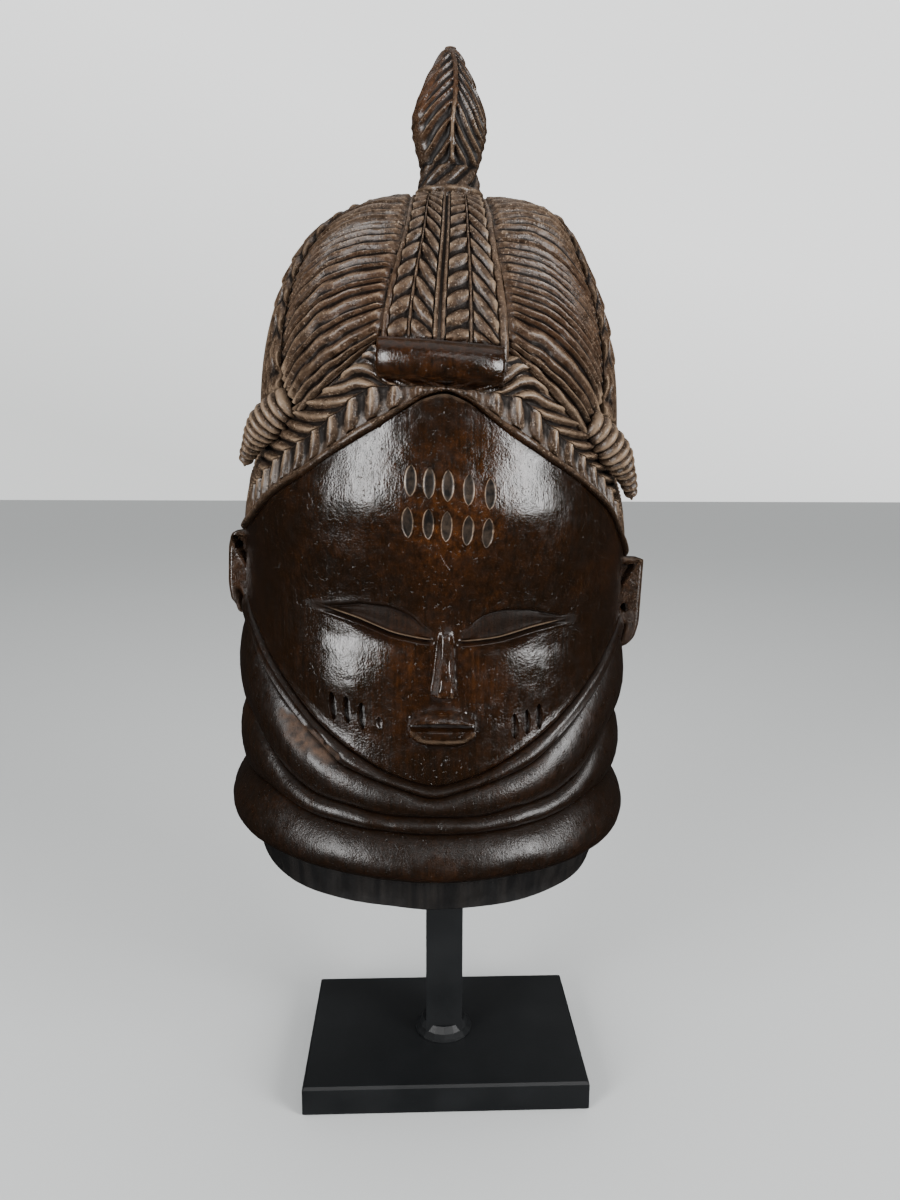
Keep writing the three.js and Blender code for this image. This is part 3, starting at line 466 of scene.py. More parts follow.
def neck_rows(azimuth):
    """Rough rim band, heavy ring, two lighter rings and the scarf under the jaw, as heights and lifts."""
    a = abs(azimuth)
    lines = [through(line, a) for line in (BAND_TOP, GROOVE_LOW, GROOVE_HIGH, SCARF_FOOT, JAW)]
    rim = through(RIM, a) + RIM_RAGGED * waver(stacked(azimuth, 0, 0), 13, 11)
    rows = [(rim, -BAND_DEPTH - BAND_TAPER - 1.2)]
    rows += [(lerp(rim, lines[0] - 1.4, s), -BAND_DEPTH - BAND_TAPER * (1 - s)) for s in BAND_SHARES]
    rows += [(lines[0] - 0.7, 1.2 - BAND_DEPTH), (lines[0] - 0.2, 2.2)]
    for ring, count in enumerate(RING_ROWS):
        high = lines[ring + 1] - (1.2 if ring == 3 else 0)
        for k in range(count):
            s = 0.5 - 0.5 * math.cos(math.pi * (k + 0.6) / (count + 0.2))
            fullness = s ** 0.72 if ring == 0 else s
            rows.append((lerp(lines[ring], high, s), RING_BULGES[ring] * math.sin(math.pi * fullness) ** 0.62))
        rows.append((high, -GROOVE_DEPTH))
    return rows


def face_rows(azimuth):
    """Jaw edge, cheeks, the eye under its brow, and the high forehead."""
    a = abs(azimuth)
    jaw = through(JAW, a)
    aside = abs(azimuth - NOSE_AZIMUTH)
    slit = through(EYE_SLIT, aside)
    brow = through(BROW, aside) + 0.8 * np.tanh((azimuth - NOSE_AZIMUTH) / 6)
    hairline = hairline_at(azimuth)
    chin_round = 0.5 * smoothstep(a, 0, 20)
    rows = [(jaw - 0.5, -0.6), (jaw + 0.2, 0.6 * chin_round), (jaw + 1, chin_round)]
    beside = smoothstep(aside, 12, 27)
    for height in FACE_HEIGHTS:
        s = (height - 60) / 60
        near = height + (jaw - 59) * fade(height, 59, 73)
        spread = lerp(jaw + 1, slit - 1.4, s)
        rows.append((lerp(near, spread, beside), chin_round * fade(s, 0, 0.1)))
    rows += [(slit + rise, depth * openness(azimuth)) for rise, depth in LID_EDGE]
    lid_open = openness(azimuth, 4, 10)
    rows += [(lerp(slit + 2.3, brow, s), depth * lid_open) for s, depth in LID]
    rows += [(brow + rise, depth * lid_open) for rise, depth in BROW_EDGE]
    rows += [(lerp(brow + 3, hairline - 1, s), 0) for s in np.linspace(0.03, 1, FOREHEAD_ROWS)]
    rows.append((hairline + 0.4, HAIR_GROUND))
    nape = np.where(a > 80, through(NAPE, a), hairline)
    return [(height, np.where(height > nape + 0.6, HAIR_GROUND, lift)) for height, lift in rows]


def openness(azimuth, start=2.6, full=5):
    """How far the eye is cut at an azimuth, from 0 to 1."""
    aside = abs(azimuth - NOSE_AZIMUTH)
    return smoothstep(aside, start, full) * fade(aside, *EYE_END)


def crown_rows(azimuth):
    """The head's ground above the hairline, up to the crown."""
    start = hairline_at(azimuth) + 0.5
    top = DOME_BASE + DOME_RISE - 0.5
    return [(lerp(start, top, s), HAIR_GROUND) for s in CROWN_SHARES]


def face_relief(azimuth, height):
    """Nose, lips and cheeks as height above the face."""
    u = np.radians(azimuth - NOSE_AZIMUTH) * 97
    foot = through(NOSE_FOOT, height)
    ridge = through(NOSE_RIDGE, height)
    side = np.clip((foot - abs(u)) / (foot - ridge), 0, 1)
    stand = through(NOSE_STAND, height)
    nose = stand * side ** 1.15 - 0.25 * (side >= 1) * stand / 9
    v = (2 * u - MOUTH_LEFT - MOUTH_RIGHT) / (MOUTH_RIGHT - MOUTH_LEFT)
    bend = np.clip(abs(v), 0, 1) ** 3.6
    squeezed = MOUTH_HEIGHT + (height - MOUTH_HEIGHT) / (1 - 0.5 * bend) + 0.8 * v ** 2
    lips = through(LIP_STAND, squeezed) * fade(abs(v), 0.95, 1.06)
    cheeks = bell(abs(azimuth - NOSE_AZIMUTH), CHEEK_MIDDLE[0], CHEEK_SPREAD[0])
    cheeks = cheeks * bell(height, CHEEK_MIDDLE[1], CHEEK_SPREAD[1])
    cheeks = cheeks * np.where(azimuth > 0, CHEEK_STAND[1], CHEEK_STAND[0])
    return np.maximum(nose, lips) + cheeks * fade(height, 116, 122)


def hand_cut(azimuth, height):
    """Tool marks on the rim band, and a second thin fold in the scarf, deeper on the left."""
    a = abs(azimuth)
    place = stacked(azimuth * 1.7, height * 0.25, 0)
    band = fade(height - through(BAND_TOP, a), -1.5, 0)
    chops = 1.2 * waver(place, 4.6, 5) + 0.4 * waver(place, 1.7, 6)
    low = through(SCARF_FOOT, a)
    share = (height - low) / np.maximum(through(JAW, a) - low, 1)
    beside = smoothstep(a, 24, 34) * fade(a, 62, 72)
    fold = FOLD_DEPTH * bell(share, 0.5, 0.1) * beside * np.where(azimuth < 0, 1, 0.55)
    return band * lerp(0.35, 1, smoothstep(height, 0, 5)) * chops - fold


def bare_patch(azimuth, height):
    """Where the surface has flaked off on the left of the scarf: 1 inside, 0 outside."""
    middle, level, wide, high = FLAKED
    u = (azimuth - middle) / wide + (height - level) / 16
    v = (height - level + 0.6 * (azimuth - middle)) / high
    ragged = waver(stacked(azimuth * 1.7, height, 0), 3.5, 21)
    return fade(np.hypot(u, v) + 0.28 * ragged, 0.95, 1.12)


def scar_floor(azimuth, height):
    """1 on the dull floors of the scars on the forehead, 0 outside."""
    floor = np.zeros(height.shape)
    for middle, level in FOREHEAD_CUTS:
        half = 2.5 * np.sqrt(np.clip(1 - ((height - level) / 6.1) ** 2, 0, 1))
        floor = np.maximum(floor, fade(abs(azimuth - middle) * 1.8 - half, -0.6, -0.2))
    return floor


def unevenness(points):
    """Shallow facets of the adze and knife, in millimetres."""
    on_neck = fade(points[..., 2], 48, 70)
    return 0.4 * waver(points, 19, 1) + (0.16 + 0.16 * on_neck) * waver(points, 7, 2) - 0.7 * on_neck


def head():
    azimuth = head_azimuths()
    rows = neck_rows(azimuth) + face_rows(azimuth) + crown_rows(azimuth)
    height = np.array([row[0] for row in rows])
    lift = np.array([np.broadcast_to(row[1], azimuth.shape) for row in rows], float)
    azimuth = np.broadcast_to(azimuth, height.shape)
    skin = lift > HAIR_GROUND + 0.5
    carved = face_relief(azimuth, height) + hand_cut(azimuth, height)
    carved = carved - FLAKE_DEPTH * bare_patch(azimuth, height) + unevenness(at_height(azimuth, height))
    return loft("head", at_height(azimuth, height, lift + skin * carved))


def hollow():
    """The hollow that the wearer's head enters, with a flat ceiling over the post."""
    turn = np.arange(0, 360, 5.0)
    rings = []
    for height in HOLLOW_HEIGHTS:
        ring = at_height(turn, max(height, 0), -WALL)
        ring[:, 2] = height
        rings.append(ring)
    for climb in HOLLOW_CLIMBS:
        ring = on_meridian(turn, climb, -WALL)
        ring[:, 2] = np.minimum(ring[:, 2], CEILING - 0.5)
        rings.append(ring)
    rings.append(rings[-1] * [0.72, 0.72, 0] + [0, 0, CEILING])
    return loft("hollow", rings, lambda points: points)


def knife_cut(azimuth, height, width, length, depth, tilt):
    """A lens-shaped scar: two curved edges that meet at its ends, with a shallow floor."""
    turn = 2 * np.pi * np.arange(20) / 20
    rings = []
    for rise, share in [(depth * level, share) for level, share in CUT_RINGS] + [(2.5, 1.5)]:
        along = np.cos(turn) * length / 2 * (0.8 + 0.2 * share)
        aside = np.copysign(abs(np.sin(turn)) ** 1.35, np.sin(turn)) * width / 2 * share
        lean = math.radians(tilt)
        x = aside * math.cos(lean) + along * math.sin(lean)
        rings.append(stacked(x, rise, along * math.cos(lean) - aside * math.sin(lean)))
    rings = np.array(rings)
    skin = at_height(azimuth, height + rings[..., 2])
    a = np.radians(azimuth)
    across = np.array([math.cos(a), math.sin(a), 0.0])
    outward = np.array([math.sin(a), -math.cos(a), 0.0])
    return loft("cut", skin + rings[..., :1] * across + rings[..., 1:2] * outward)


def ear(side):
    """Flat ear standing out sideways, with a three-cornered hollow, a small hole and a curled lobe."""
    outer_edge = EAR_EDGES[side]
    foot, top = outer_edge[0][0], outer_edge[-1][0]
    share = np.linspace(0, 1, 29)
    z = np.repeat(np.linspace(foot + 0.1, top - 0.1, 46)[:, None], len(share), 1)
    x = lerp(86, through(outer_edge, z), share[None, :] ** 0.85)
    # Distance from the slanting line under the hollow
    ridge = ((x - 95) * 15 - (z - 138.5) * 8.6) / 17.3
    within = smoothstep(z, 137.5, 140) * fade(z, 152, 153.6)
    above = smoothstep(-ridge, 0.2, 1.3) * within
    crests = bell(ridge, 0.6, 0.7) + 0.8 * bell(ridge, -2.4, 0.6) * within
    hole_x, hole_z = EAR_HOLES[side]
    hole = fade(np.hypot((x - hole_x) / 1.6, (z - hole_z) / 2.2), 0.6, 1.1)
    curl = bell(x - 0.25 * (z - foot - 5.5), 97.5, 1)
    curl = curl * smoothstep(z, foot + 1, foot + 3) * fade(z, foot + 10, foot + 15)
    rim = 2.4 * smoothstep(share, 0.88, 1.0)[None, :] ** 2
    rim = rim + 2 * fade(z, foot, foot + 1.8) + 1.2 * smoothstep(z, 155.6, 156.4)
    front = EAR_FRONT + 3.6 * above - 1.1 * crests * smoothstep(z, 134, 139) + 5 * hole + 3.6 * curl + rim
    middle_y, middle_z, deep, high = EAR_ROUND
    back = middle_y + deep * np.sqrt(1 - ((z - middle_z) / high) ** 2)
    back = np.minimum(back - 1.2 * smoothstep(share, 0.8, 1.0)[None, :], EAR_BACK)
    low_z = z - EAR_DROP * side + slant_drop(side * x, z)
    return patch(f"ear{side}", stacked(side * x, front, low_z), stacked(side * x, back, low_z))


# Hair

def panel_point(t, w, lift=0.0):
    """Point on the front panel: t climbs from the bar to the crown, w runs from edge to edge."""
    t, w = np.broadcast_arrays(t, np.asarray(w, float))
    middle = on_meridian(0, lerp(PANEL_FROM, PANEL_TO, t))
    aside = through(PANEL_MIDDLE, t) + w * through(PANEL_WIDTHS, t)
    middle[..., 0] += aside + (1 - w * w) * through(PANEL_RIB_SHIFT, t)
    return on_head(middle, lift)


def side_braid_line(side, t):
    return on_meridian(side * through(SIDE_BRAID_AZIMUTHS, t), through(SIDE_BRAID_CLIMBS, t))


def facing(side, degrees, at):
    """Direction along the skin that runs outward and down by an angle as seen from the front."""
    normal = on_head(at, 1) - on_head(at)
    fall = np.radians(degrees)
    x, z = side * np.cos(fall), -np.sin(fall)
    y = -(normal[..., 0] * x + normal[..., 2] * z) / normal[..., 1]
    return stacked(x, y, z)


def lobe_strand(side, u, v):
    """Point on a front strand: v names the strand from the lowest up, u runs from the panel to its foot."""
    start = panel_point(through(STRAND_STARTS, v), side * 1.04)
    end = on_meridian(side * through(STRAND_END_AZIMUTHS, v), through(STRAND_END_CLIMBS, v))
    chord = np.linalg.norm(end - start, axis=-1, keepdims=True)
    first = start + facing(side, through(STRAND_LEAVING, v), start) * chord * 0.34
    second = end - facing(side, through(STRAND_ARRIVING, v), end) * chord * 0.34
    u = u[..., None]
    point = start * (1 - u) ** 3 + first * 3 * u * (1 - u) ** 2 + second * 3 * u * u * (1 - u) + end * u ** 3
    return on_head(point)


def lobe(side):
    """Ridged strands of a front lobe, from the panel's edge down to the tuft."""
    columns = np.linspace(0, 1, 34) ** 1.25
    rows = np.arange(LOBE_STRANDS * STRAND_SAMPLES + 1) / STRAND_SAMPLES
    phase, u = np.meshgrid(rows, columns, indexing="ij")
    even = np.arange(LOBE_STRANDS + 1)
    uneven = even + 0.3 * np.random.default_rng(17 + side).uniform(-1, 1, LOBE_STRANDS + 1)
    uneven[[0, -1]] = 0, LOBE_STRANDS
    v = (np.interp(phase, even, uneven) / LOBE_STRANDS) ** 0.86
    skin = lobe_strand(side, u, v)
    swell = np.sin(np.pi * u)
    strand = np.random.default_rng(7 + side).random(LOBE_STRANDS + 1)[phase.astype(int)]
    wander = 0.28 * waver(stacked(u * 30, v * 9, 0), 4, 33 + side) * swell
    height = 1.75 + 0.6 * swell + 0.7 * (strand - 0.5) + 0.5 * waver(skin, 7, 31 + side) + 0.9 * (phase < 2)
    begun = smoothstep(u, 0.01, 0.05)
    lift = height * (begun * strand_relief(phase + wander, 1.45) - 1) + 2.2 * swell * (1 - v ** 3) + 0.15
    lift = lift + TOP_SWELL[side] * np.sin(np.pi * u ** 0.8) * smoothstep(v, 0.55, 1)
    return patch(f"lobe{side}", on_head(skin, lift), on_head(skin, HAIR_ROOT))


def back_hair():
    """Upright strands all over the back of the head, gathered at the crown."""
    columns = np.arange(BACK_STRANDS * STRAND_SAMPLES + 1) / STRAND_SAMPLES
    rows = np.linspace(0, 1, 40)
    share, phase = np.meshgrid(rows, columns, indexing="ij")
    azimuth = lerp(50, 310, phase / BACK_STRANDS)
    from_face = np.minimum(azimuth, 360 - azimuth)
    foot = through(NAPE, from_face) - DOME_BASE
    top = through(BACK_TOP, from_face)
    climb = np.where(share < 0.42, foot * (1 - share / 0.42), top * (share - 0.42) / 0.58)
    skin = on_meridian(azimuth, climb)
    height = 1.9 + 0.4 * waver(skin, 11, 41)
    lift = height * (strand_relief(phase + 0.1 * waver(skin, 26, 42) * smoothstep(share, 0.1, 0.4)) - 1)
    return patch("back_hair", on_meridian(azimuth, climb, lift), on_meridian(azimuth, climb, HAIR_ROOT))


def band(name, surface, pairs, columns, start=0.0, fine=-1.0):
    """A carved band from t = start to 1; below t = fine its leaves give way to thin strands.

    Each column has a place w, a lift, a shift of t, its place along a leaf, and the leaf's depth and fullness.
    """
    w, lift, shift, share, depth, fullness = (np.array(c, float) for c in zip(*columns))
    phase = np.repeat((np.arange(pairs * LEAF_SAMPLES + 1) / LEAF_SAMPLES)[:, None], len(w), 1)
    t = lerp(start, 1, phase / pairs)
    t = t + shift * np.clip((t - start) * 5, 0, 1) * np.clip((1 - t) * 10, 0, 1)
    leafy = smoothstep(t, fine, fine + 0.05)
    relief = lerp(strand_relief(2.5 * phase, 2), leaf_relief(phase, share, fullness), leafy)
    leaves = np.where(depth > 0, lerp(0.5, 1, leafy) * depth * (relief - 1), 0)
    t = np.minimum(t, 1)
    w = np.broadcast_to(w, t.shape)
    return patch(name, surface(t, w, lift + leaves), surface(t, w, HAIR_ROOT))


def plait(low, high, stand, depth, shifts, middle=0.5, fullness=(1.0, 1.0), rope=0.0):
    """Columns of one plait: an edge, a row of leaves, the middle line, leaves and an edge."""
    columns = [(low, stand - depth, shifts[0], 0, 0, 1)]
    shares = np.linspace(0.02, 0.97, 9)
    centre = lerp(low, high, middle)
    for edge, shift, full, order in ((low, shifts[0], fullness[0], 1), (high, shifts[2], fullness[1], -1)):
        columns += [
            (lerp(edge, centre - order * rope, s), stand, lerp(shift, shifts[1], s), s, depth, full)
            for s in shares[::order]
        ]
        if order > 0:
            line = [(-rope, -0.9 * depth)]
            if rope:
                line += [(-0.55 * rope, -0.7), (0.55 * rope, -0.7), (rope, -0.9 * depth)]
            columns += [(centre + aside, stand + rise, shifts[1], 0, 0, 1) for aside, rise in line]
    columns.append((high, stand - depth, shifts[2], 0, 0, 1))
    return columns


def plain(profile, shift=0.0):
    return [(w, lift, shift, 0, 0, 1) for w, lift in profile]


def panel():
    """Front panel: two plaits between rounded borders and a double middle rib."""
    columns = plain([(-w, lift) for w, lift in PANEL_BORDER])
    columns += plait(-0.88, -0.108, 0.6, 2.1, (0, 0.034, -0.05), 0.5, (0.95, 0.95), 0.03)
    columns += plain(PANEL_RIB, -0.045)
    columns += plait(0.1, 0.88, 0.6, 2.1, (-0.04, -0.004, -0.098), 0.48, (0.9, 0.98), 0.028)
    return band("panel", panel_point, PANEL_PAIRS, columns + plain(PANEL_BORDER[::-1]), start=-0.07)


def side_braid(side):
    def surface(t, w, lift):
        here = side_braid_line(side, t)
        along = side_braid_line(side, t + 0.01) - side_braid_line(side, t - 0.01)
        normal = on_head(here, 1) - here
        return on_head(here + unit(np.cross(along, normal)) * (w * SIDE_BRAID_HALF)[..., None], lift)
    return band(f"side_braid{side}", surface, BRAID_PAIRS, plait(-1, 1, 2.4, 1.9, (0, 0.05, 0)))


def hair_band(side):
    """Leaves over a smooth cord round the forehead, up to the lobe."""
    def surface(t, w, lift):
        azimuth = lerp(80, -1.5, t)
        low = hairline_at(side * azimuth)
        return at_height(side * azimuth, lerp(low, through(LOBE_EDGE, abs(azimuth)) - 1, w), lift)
    leaves = plait(0.14, 1, 0.4, 2.6, (0, 0, -0.15), 0.47, (0.64, 0.88))
    columns = plain(FOREHEAD_CORD) + leaves + plain(HAIR_BAND_TOP)
    return band(f"hair_band{side}", surface, HAIR_BAND_PAIRS, columns, fine=0.24)


def along_curve(start, bend, end, t):
    t = t[..., None]
    point = start * (1 - t) ** 2 + bend * 2 * t * (1 - t) + end * t * t
    return point, unit((bend - start) * (1 - t) + (end - bend) * t)


def tuft(side):
    """Horn-shaped bun bound with rings, hanging over the temple."""
    start, bend, end = (np.array(point, float) for point in TUFT_LINES[side])
    phase = np.arange(TUFT_RINGS * 8 + 1) / 8
    t = phase / TUFT_RINGS
    middle, tangent = along_curve(start, bend, end, t)
    first = unit(np.cross([0.0, 0.0, 1.0], tangent))
    second = np.cross(tangent, first)
    angle = np.linspace(0, 2 * math.pi, 31)[:-1]
    radius = through(TUFT_SIZES, t) + 1.9 * (strand_relief(phase, 2.2) - 1)
    place = stacked(phase[:, None], np.sin(angle) * 2, np.cos(angle) * 2)
    radius = radius[:, None] + 0.25 * waver(place, 0.9, 51)
    across, up = (radius * np.cos(angle))[..., None], (radius * np.sin(angle))[..., None]
    rings = middle[:, None] + first[:, None] * across + second[:, None] * up
    tip = middle[-1] + tangent[-1] * 2.5 + (rings[-1] - middle[-1]) * 0.45
    return loft(f"tuft{side}", np.concatenate([rings, tip[None]]))


def bar():
    """Smooth round bar across the foot of the panel, with a thin ledge along its top."""
    angle = np.linspace(0, 2 * math.pi, 81)[:-1]
    ledge = 0.5 * bell(angle, 0.425 * math.pi, 0.055)
    rings = []
    for place, size in BAR_STATIONS:
        radius = BAR_RADIUS * size + ledge
        across = place * BAR_LENGTH / 2
        y = across ** 2 / (2 * BAR_BEND) - BAR_REACH - radius * np.cos(angle)
        rings.append(stacked(BAR_X + across, y, BAR_HEIGHT + radius * np.sin(angle)))
    return loft("bar", rings)


def finial():
    """Leaf-shaped topknot: a twisted neck over a cord, then sharp ribs that slope down from a middle rib."""
    angle = np.concatenate([np.linspace(-100, 100, 100), np.linspace(100, 260, 26)[1:-1]])
    height = [np.linspace(FINIAL_BASE, FINIAL_NECK, 28), np.linspace(FINIAL_NECK, FINIAL_TOP - 0.4, 76)[1:]]
    height, angle = np.meshgrid(np.concatenate(height), np.radians(angle), indexing="ij")
    profile = through(FINIAL_PROFILE, height)
    # Neck: upright roots, a cord and twisted strands
    turn = (angle - 1.3 * (height - FINIAL_CORD) / profile) / (2 * math.pi)
    twisted = smoothstep(height, FINIAL_CORD, FINIAL_CORD + 1.5)
    twisted = 2.6 * (strand_relief(FINIAL_STRANDS * turn, 2) - 1) * twisted
    upright = fade(height, FINIAL_CORD - 3, FINIAL_CORD - 2)
    upright = 1.2 * (strand_relief(FINIAL_ROOTS * angle / (2 * math.pi), 2) - 1) * upright
    cord = bell(height, FINIAL_CORD - 1, 1.1)
    # Leaf: ribs that fall away on both sides, shallow towards the edges, the tip and the back
    aside = profile * np.sin(angle) - through(FINIAL_MIDRIB, height)
    fall = np.where(aside < 0, through(FINIAL_FALL_LEFT, height), through(FINIAL_FALL_RIGHT, height))
    share = (height + fall * abs(aside) - FINIAL_NECK) / (FINIAL_TOP - FINIAL_NECK)
    count = through(FINIAL_RIBS, share) + 0.12 * waver(stacked(aside, height, 0), 9, 61)
    tip = fade(height, 386, 391)
    depth = lerp(3.0, 1.6, smoothstep(height, 350, 372)) * tip
    depth = depth * (1 - 0.8 * smoothstep(abs(aside) / profile, 0.7, 0.93))
    depth = depth * lerp(0.35, 1, smoothstep(np.cos(angle), -0.5, 0))
    flute = depth * (bell(np.sin(np.pi * count), 0, 0.62) - 1)
    leaf = lerp(flute, 0.6 * tip, fade(abs(aside), 0.7, 1.5))
    above = smoothstep(height, FINIAL_NECK - 1, FINIAL_NECK + 0.5)
    waist = 0.8 * bell(height, FINIAL_NECK, 0.9)
    radius = profile + lerp(twisted + upright + cord, leaf, above) - waist
    x = through(FINIAL_X, height) + radius * np.sin(angle)
    return loft("finial", stacked(x, FINIAL_Y - radius * FINIAL_FLATNESS * np.cos(angle), height))


# The mask as one piece

def joined(base, added, cut):
    """One body from the head and all its carving, less the hollow and the cuts."""
    for operation, bodies in [("UNION", added), ("DIFFERENCE", cut)]:
        step = base.modifiers.new(operation, "BOOLEAN")
        step.operation = operation
        step.solver = "MANIFOLD"
        step.operand_type = "COLLECTION"
        step.collection = bpy.data.collections.new(operation)
        for body in bodies:
            step.collection.objects.link(body)
    bpy.context.view_layer.update()
    whole = base.evaluated_get(bpy.context.evaluated_depsgraph_get())
    mesh = bpy.data.meshes.new_from_object(whole)
    for body in [base, *added, *cut]:
        bpy.data.objects.remove(body)
    return mesh


def mesh_arrays(mesh):
    """The mesh's points, edges and normals."""
    arrays = []
    for items, key, width, kind in [
        (mesh.vertices, "co", 3, np.float32), (mesh.edges, "vertices", 2, np.int32),
        (mesh.vertices, "normal", 3, np.float32),
    ]:
        values = np.empty(len(items) * width, kind)
        items.foreach_get(key, values)
        arrays.append(values.reshape(-1, width).astype(float if width == 3 else kind))
    return arrays


def neighbour_mean(values, edges):
    """Each value averaged with the values along its edges."""
    total = values.copy()
    count = np.ones(len(values))
    for a, b in (edges.T, edges.T[::-1]):
        count += np.bincount(a, minlength=len(values))
        for k in range(values.shape[1]):
            total[:, k] += np.bincount(a, values[b, k], minlength=len(values))
    return total / count[:, None]


def relief_of(points, edges, normals):
    """How far each point stands above its surroundings, in millimetres."""
    smooth = points
    for _ in range(SMOOTHING_ROUNDS):
        smooth = neighbour_mean(smooth, edges)
    return np.einsum("ij,ij->i", points - smooth, normals)


def tones(points, stand):
    """What the wood's finish differs by, as one value a point for each tone that its material reads."""
    x, y, z = points.T
    azimuth = np.degrees(np.arctan2(x, -y))
    height = z + slant_drop(x, z)
    a = abs(azimuth)
    aside = abs(azimuth - NOSE_AZIMUTH)
    in_front = y < 0
    low = stand < 0
    edge_of_hair = np.where(a > 78, through(NAPE, a), hairline_at(azimuth))
    from_bar = np.hypot(y + BAR_REACH, height - BAR_HEIGHT)
    off_bar = (abs(x - BAR_X) >= BAR_LENGTH / 2 + 0.5) | (from_bar >= BAR_RADIUS + 1.3)
    hair = smoothstep(height - edge_of_hair, -0.5, 1.5) * off_bar
    on_face = smoothstep(height - through(JAW, a), -1, 1)
    leafy = smoothstep(height - edge_of_hair, 6, 11) * hair
    on_topknot = smoothstep(height, 322, 330)
    # How strongly the height above the surroundings shows in the material: paler ridges there are partly a
    # painted highlight and darker cuts a painted shade, strongest in the hair and the upper lobes
    weight = lerp(0.1 + 0.25 * on_face * off_bar, 1.25 + low * (0.35 + 1.9 * on_topknot), leafy)
    weight = weight * (1 + 0.8 * smoothstep(height, 245, 285) * (1 - on_topknot) * off_bar * low)
    over_slit = height - through(EYE_SLIT, aside)
    # A pale line along the lower edge of each lid and on the lips: partly wear, partly a painted highlight
    lid_edge = 0.85 * bell(over_slit, 1.6, 0.38) * openness(azimuth)
    along = (azimuth - NOSE_AZIMUTH) * 1.7 + 0.4
    lips = 0.4 * bell(height, 79.4 + 0.012 * along ** 2, 1.2) + 0.3 * bell(height, 91.3, 0.5)
    worn_and_highlit_edge = (lid_edge + lips * fade(abs(along), 9, 13)) * in_front
    at_eye = smoothstep(aside, 2.6, 5) * fade(aside, 34, 39) * in_front
    on_lid = smoothstep(over_slit, -1.2, 0.3) * fade(height - through(BROW, aside), 0, 2) * at_eye
    on_ear = smoothstep(abs(x), 95.5, 97.5) * (abs(y + 7) < 13) * (abs(height - 132) < 28)
    rubbed = sum(share * np.exp(-(((points - at) / spread) ** 2).sum(1)) for at, spread, share in RUBBED)
    return {
        "relief": stand * weight + 1.5 * worn_and_highlit_edge,
        "dull": np.maximum(1 - on_face, 2.6 * on_lid),
        "hair": np.maximum(hair * (1 - 0.35 * on_topknot), 0.3 * on_ear),
        "rubbed": np.clip(rubbed, 0, 1),
        "rough_rim": fade(height - through(BAND_TOP, a), -0.8, 0.4),
        "bare": bare_patch(azimuth, height),
        "scar": scar_floor(azimuth, height),
    }


def on_post(points):
    """From the carving's own millimetres to the shared frame in metres, with the mask's slight lean."""
    x, y, z = points.T
    lean = math.radians(MASK_LEAN)
    across = MASK_X + x * math.cos(lean) + z * math.sin(lean)
    return stacked(across, y, RIM_LIFT - x * math.sin(lean) + z * math.cos(lean)) / 1000


def carve_mask():
    added = [back_hair(), panel(), bar(), finial()]
    for side in (-1, 1):
        added += [lobe(side), side_braid(side), hair_band(side), tuft(side), ear(side)]
    cuts = [hollow()]
    cuts += [knife_cut(*place, width=5.6, length=13, depth=0.9, tilt=0) for place in FOREHEAD_CUTS]
    # A scratch under the scars
    cuts.append(knife_cut(1, 158, width=1.3, length=10, depth=0.5, tilt=-31))
    for azimuth, height, length in CHEEK_CUTS:
        cuts.append(knife_cut(azimuth, height, width=3.8, length=length, depth=length / 6, tilt=-4))
    mesh = joined(head(), added, cuts)
    points, edges, normals = mesh_arrays(mesh)
    for name, values in tones(points, relief_of(points, edges, normals)).items():
        tone = mesh.attributes.new(name, "FLOAT", "POINT")
        tone.data.foreach_set("value", np.asarray(values, np.float32))
    points = on_post(points + normals * (SKIN_GRAIN * (waver(points, 2.6, 3) - 1))[:, None])
    mesh.vertices.foreach_set("co", points.astype(np.float32).ravel())
    mesh.update()
    mesh.shade_smooth()
    mesh.set_sharp_from_angle(angle=math.radians(48))
    mesh.materials.clear()
    return placed("carved_mask", mesh)


# Materials

def linear(hexed):
    """An sRGB hex colour as linear RGBA."""
    parts = [int(hexed[i:i + 2], 16) / 255 for i in (1, 3, 5)]
    return tuple(c / 12.92 if c <= 0.04045 else ((c + 0.055) / 1.055) ** 2.4 for c in parts) + (1.0,)


def per_mm(size):
    """Pattern scale that gives lumps of a size in millimetres."""
    return 1000 / size


def add(tree, kind, inputs=(), output=0, **settings):
    """Adds a node with its settings and links, and gives back one of its outputs.

    The inputs come in their order or by name, and those that are sockets are linked.
    """
    node = tree.nodes.new("ShaderNode" + kind)
    for name, value in settings.items():
        setattr(node, name, value)
    for name, value in inputs.items() if isinstance(inputs, dict) else enumerate(inputs):
        if isinstance(value, bpy.types.NodeSocket):
            tree.links.new(value, node.inputs[name])
        else:
            node.inputs[name].default_value = value
    return node.outputs[output] if node.outputs else None


def new_material(name):
    material = bpy.data.materials.new(name)
    material.use_nodes = True
    tree = material.node_tree
    tree.nodes.clear()
    return material, tree


